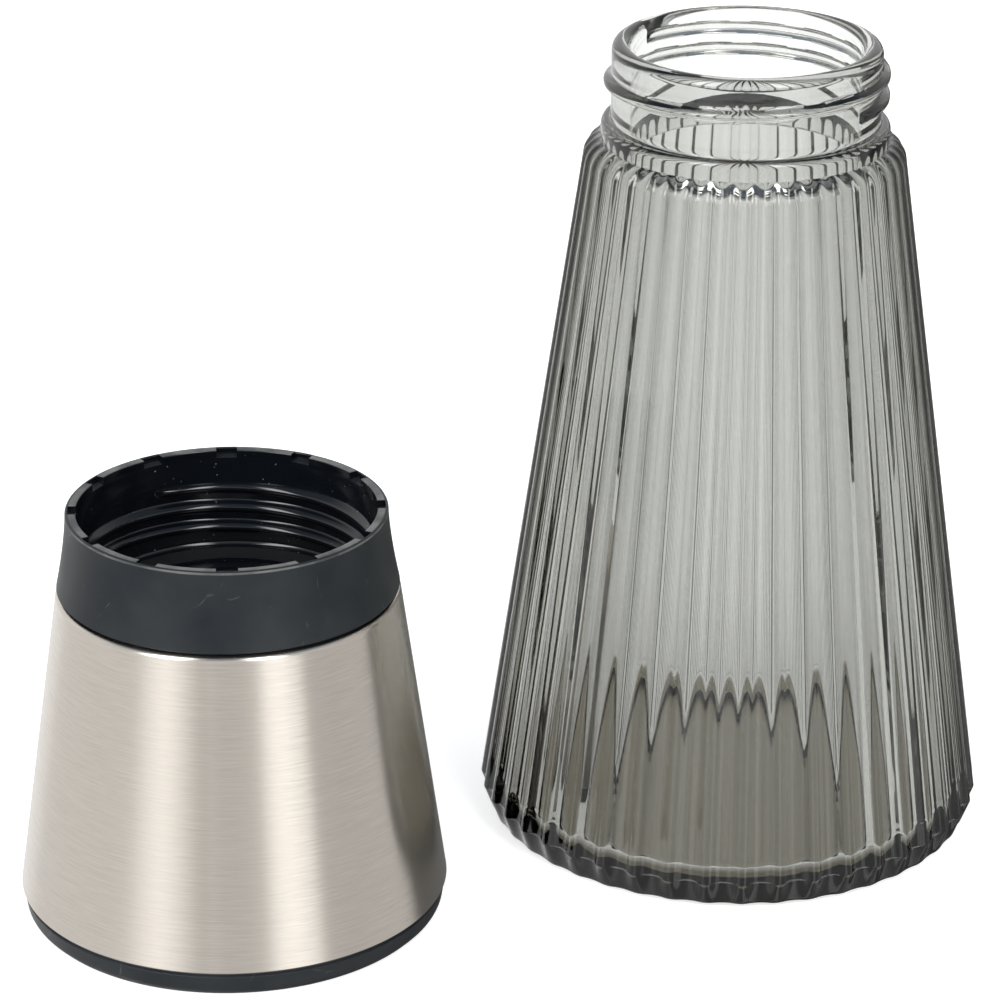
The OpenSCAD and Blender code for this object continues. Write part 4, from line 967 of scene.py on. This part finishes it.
class MILL_OT_stage(bpy.types.Operator):
    """Makes the pale floor, the studio light and the camera"""

    bl_idname = "mill.stage"
    bl_label = "Stage"

    # Brightness of the lower walls round the turn: degrees from the camera's side, positive to the right.
    LOW_WALLS = ((-180, 1.04), (-138, 1.04), (-126, 0.9), (-56, 0.9), (-46, 1.15), (-37, 1.36), (-26, 1.15),
                 (-15, 0.74), (-11, 0.74), (-8, 0.86), (-5, 0.74), (19, 0.72), (28, 1.4), (37, 1.6),
                 (46, 1.4), (53, 0.68), (70, 0.66), (109, 0.72), (116, 0.16), (173, 0.18), (178, 0.9),
                 (180, 1.04))
    # Factor on them from straight down to straight up, in degrees of height.
    LOW_HEIGHTS = ((-90, 0.5), (-45, 0.9), (-30, 1.0), (-2, 1.0), (4, 0.0), (90, 0.0))
    # Brightness of the upper walls, and the factor on it.
    HIGH_WALLS = ((-180, 1.0), (-110, 1.0), (-75, 0.8), (80, 0.75), (104, 0.6), (142, 0.6), (160, 0.9),
                  (180, 1.0))
    HIGH_HEIGHTS = ((-90, 0.0), (-2, 0.0), (4, 1.0), (32, 1.0), (50, 0.0), (90, 0.0))
    # Brightness of the two softboxes, and the factor on it.
    BOXES = ((-180, 0.0), (-58, 0.0), (-50, 7.5), (-34, 7.5), (-26, 0.0), (16, 0.0), (24, 7.5), (34, 7.5),
             (42, 0.0), (180, 0.0))
    BOX_HEIGHTS = ((-90, 0.0), (8, 0.0), (20, 1.0), (58, 1.0), (68, 0.0), (90, 0.0))
    # Share of the ceiling's own colour from straight down to straight up.
    CEILING_HEIGHTS = ((-90, 0.0), (32, 0.0), (50, 1.0), (90, 1.0))

    def execute(self, context):
        stage = context.scene.mill_stage
        self.camera(context, stage)
        self.world(context, stage)
        self.floor(context, stage)
        context.scene.view_settings.view_transform = "Standard"
        return {"FINISHED"}

    @staticmethod
    def camera(context, stage):
        """Camera at the photograph's angle: looks along +Y, pitched down and rolled a little."""
        data = bpy.data.cameras.new("photo_camera")
        data.sensor_width = 36
        data.lens = stage.camera_lens
        data.clip_start, data.clip_end = 0.01, 20
        camera = bpy.data.objects.new("photo_camera", data)
        context.scene.collection.objects.link(camera)
        pitch, roll = stage.camera_pitch, stage.camera_roll
        ahead = Vector((0, math.cos(pitch), -math.sin(pitch)))
        right, up = Vector((1, 0, 0)), Vector((0, math.sin(pitch), math.cos(pitch)))
        right, up = right * math.cos(roll) + up * math.sin(roll), up * math.cos(roll) - right * math.sin(roll)
        turn = Matrix((right, up, -ahead)).transposed().to_4x4()
        camera.matrix_world = Matrix.Translation(stage.camera_place) @ turn
        context.scene.camera = camera

    @classmethod
    def world(cls, context, stage):
        """Studio of pale walls with two tall softboxes and a dim ceiling."""
        world = bpy.data.worlds.new("studio")
        context.scene.world = world
        world.use_nodes = True
        tree = world.node_tree
        tree.nodes.clear()
        way = add_node(tree, "TexCoord").outputs["Generated"]
        part = add_node(tree, "SeparateXYZ", {"Vector": way}).outputs
        toward = add_node(tree, "Math", {0: part["Y"], 1: -1.0}, operation="MULTIPLY")
        turn = add_node(tree, "Math", {0: part["X"], 1: toward}, operation="ARCTAN2")
        rise = add_node(tree, "Math", {0: part["Z"]}, operation="ARCSINE")
        low, high, boxes = (
            add_node(tree, "Math", {0: cls.ramp(tree, turn, around), 1: cls.ramp(tree, rise, upward)},
                     operation="MULTIPLY")
            for around, upward in ((cls.LOW_WALLS, cls.LOW_HEIGHTS), (cls.HIGH_WALLS, cls.HIGH_HEIGHTS),
                                   (cls.BOXES, cls.BOX_HEIGHTS)))
        walls = add_node(tree, "Math", {0: low, 1: high}, operation="ADD")
        studio = add_node(tree, "Math", {0: walls, 1: boxes}, operation="ADD")
        share = cls.ramp(tree, rise, cls.CEILING_HEIGHTS)
        ceiling = add_node(tree, "VectorMath", {0: stage.ceiling, "Scale": share}, operation="SCALE")
        room = add_node(tree, "VectorMath", {0: studio, 1: ceiling}, operation="ADD")
        light = add_node(tree, "Background", {"Color": room, "Strength": 1.0})
        add_node(tree, "OutputWorld", {"Surface": light})

    @staticmethod
    def ramp(tree, source, stops):
        """Value that runs through stops of degrees and level, as a curve over an angle in radians."""
        low, high = math.radians(stops[0][0]), math.radians(stops[-1][0])
        top = max(value for _, value in stops)
        share = add_node(tree, "MapRange", {"Value": source, "From Min": low, "From Max": high})
        curve = add_node(tree, "FloatCurve", {"Value": share})
        points = curve.mapping.curves[0].points
        spots = [((math.radians(degrees) - low) / (high - low), value / top) for degrees, value in stops]
        points[0].location, points[1].location = spots[0], spots[-1]
        for spot in spots[1:-1]:
            points.new(*spot)
        for point in points:
            point.handle_type = "VECTOR"
        curve.mapping.update()
        return add_node(tree, "Math", {0: curve, 1: top}, operation="MULTIPLY")

    @staticmethod
    def floor(context, stage):
        """Pale matt floor that is white to the camera and still keeps the object's shadow.

        Under and behind the jar a shadow is painted into its colour, because thick tinted glass lets little
        light through.
        """
        half, drop = stage.floor_width / 2, -stage.floor_drop
        mesh = bpy.data.meshes.new("floor")
        corners = [(-half, -half, drop), (half, -half, drop), (half, half, drop), (-half, half, drop)]
        mesh.from_pydata(corners, [], [(0, 1, 2, 3)])
        material, tree, coordinates = new_material("pale_matt_floor")
        # Painted shadow: a squeezed disc behind the jar's axis that fades from the shade colour to white.
        behind = add_node(tree, "VectorMath", {0: coordinates, 1: (0.0, stage.shade_shift, drop)},
                          operation="SUBTRACT")
        squeezed = add_node(tree, "VectorMath", {0: behind, 1: (stage.shade_squeeze, 1.0, 1.0)},
                            operation="MULTIPLY")
        away = add_node(tree, "VectorMath", {0: squeezed}, operation="LENGTH")
        shade_r = context.scene.mill_jar.foot_diameter / 2 + stage.shade_margin
        clear = add_node(tree, "MapRange",
                         {"Value": away, "From Min": shade_r, "From Max": shade_r + stage.shade_edge},
                         interpolation_type="SMOOTHSTEP")
        shade = add_node(tree, "Mix", {"Factor": clear, "A": rgba(stage.painted_floor_shade), "B": WHITE},
                         data_type="RGBA")
        tone = add_node(tree, "VectorMath", {0: shade, 1: stage.floor_colour}, operation="MULTIPLY")
        matt = add_node(tree, "BsdfDiffuse", {"Color": tone})
        path = add_node(tree, "LightPath").outputs
        seen = add_node(tree, "Math", {0: path["Is Camera Ray"], 1: path["Is Glossy Ray"]},
                        operation="MAXIMUM")
        seen = add_node(tree, "Math", {0: seen, 1: path["Is Transmission Ray"]}, operation="MAXIMUM")
        glow = add_node(tree, "Math", {0: seen, 1: stage.floor_glow}, operation="MULTIPLY")
        white = add_node(tree, "Emission", {"Color": shade, "Strength": glow})
        both = add_node(tree, "AddShader", {0: matt, 1: white})
        add_node(tree, "OutputMaterial", {"Surface": both})
        mesh.materials.append(material)
        plane = bpy.data.objects.new("floor", mesh)
        plane.visible_glossy = False
        context.scene.collection.objects.link(plane)


class MILL_PT_sidebar(bpy.types.Panel):
    """Lists the mill's pieces and the stage"""

    bl_idname = "MILL_PT_sidebar"
    bl_label = "Salt and Pepper Mill"
    bl_space_type = "VIEW_3D"
    bl_region_type = "UI"
    bl_category = "Mill"

    def draw(self, context):
        for operator in OPERATORS:
            self.layout.operator(operator.bl_idname)


OPERATORS = (MILL_OT_stage, MILL_OT_glass_jar, MILL_OT_threaded_collar, MILL_OT_steel_sleeve,
             MILL_OT_base_ring, MILL_OT_cone_spring, MILL_OT_inner_parts)
SETTINGS = {"mill_jar": MillJarSettings, "mill_head": MillHeadSettings, "mill_finish": MillFinishSettings,
            "mill_stage": MillStageSettings}
CLASSES = (*SETTINGS.values(), *OPERATORS, MILL_PT_sidebar)


def register():
    """Registers the classes and hangs the settings on the scene."""
    for cls in CLASSES:
        bpy.utils.register_class(cls)
    for name, group in SETTINGS.items():
        setattr(bpy.types.Scene, name, bpy.props.PointerProperty(type=group))


def unregister():
    """Takes the settings off the scene and unregisters the classes."""
    for name in SETTINGS:
        delattr(bpy.types.Scene, name)
    for cls in reversed(CLASSES):
        bpy.utils.unregister_class(cls)


def main():
    register()
    for operator in OPERATORS:
        group, name = operator.bl_idname.split(".")
        getattr(getattr(bpy.ops, group), name)()


if __name__ == "__main__":
    main()
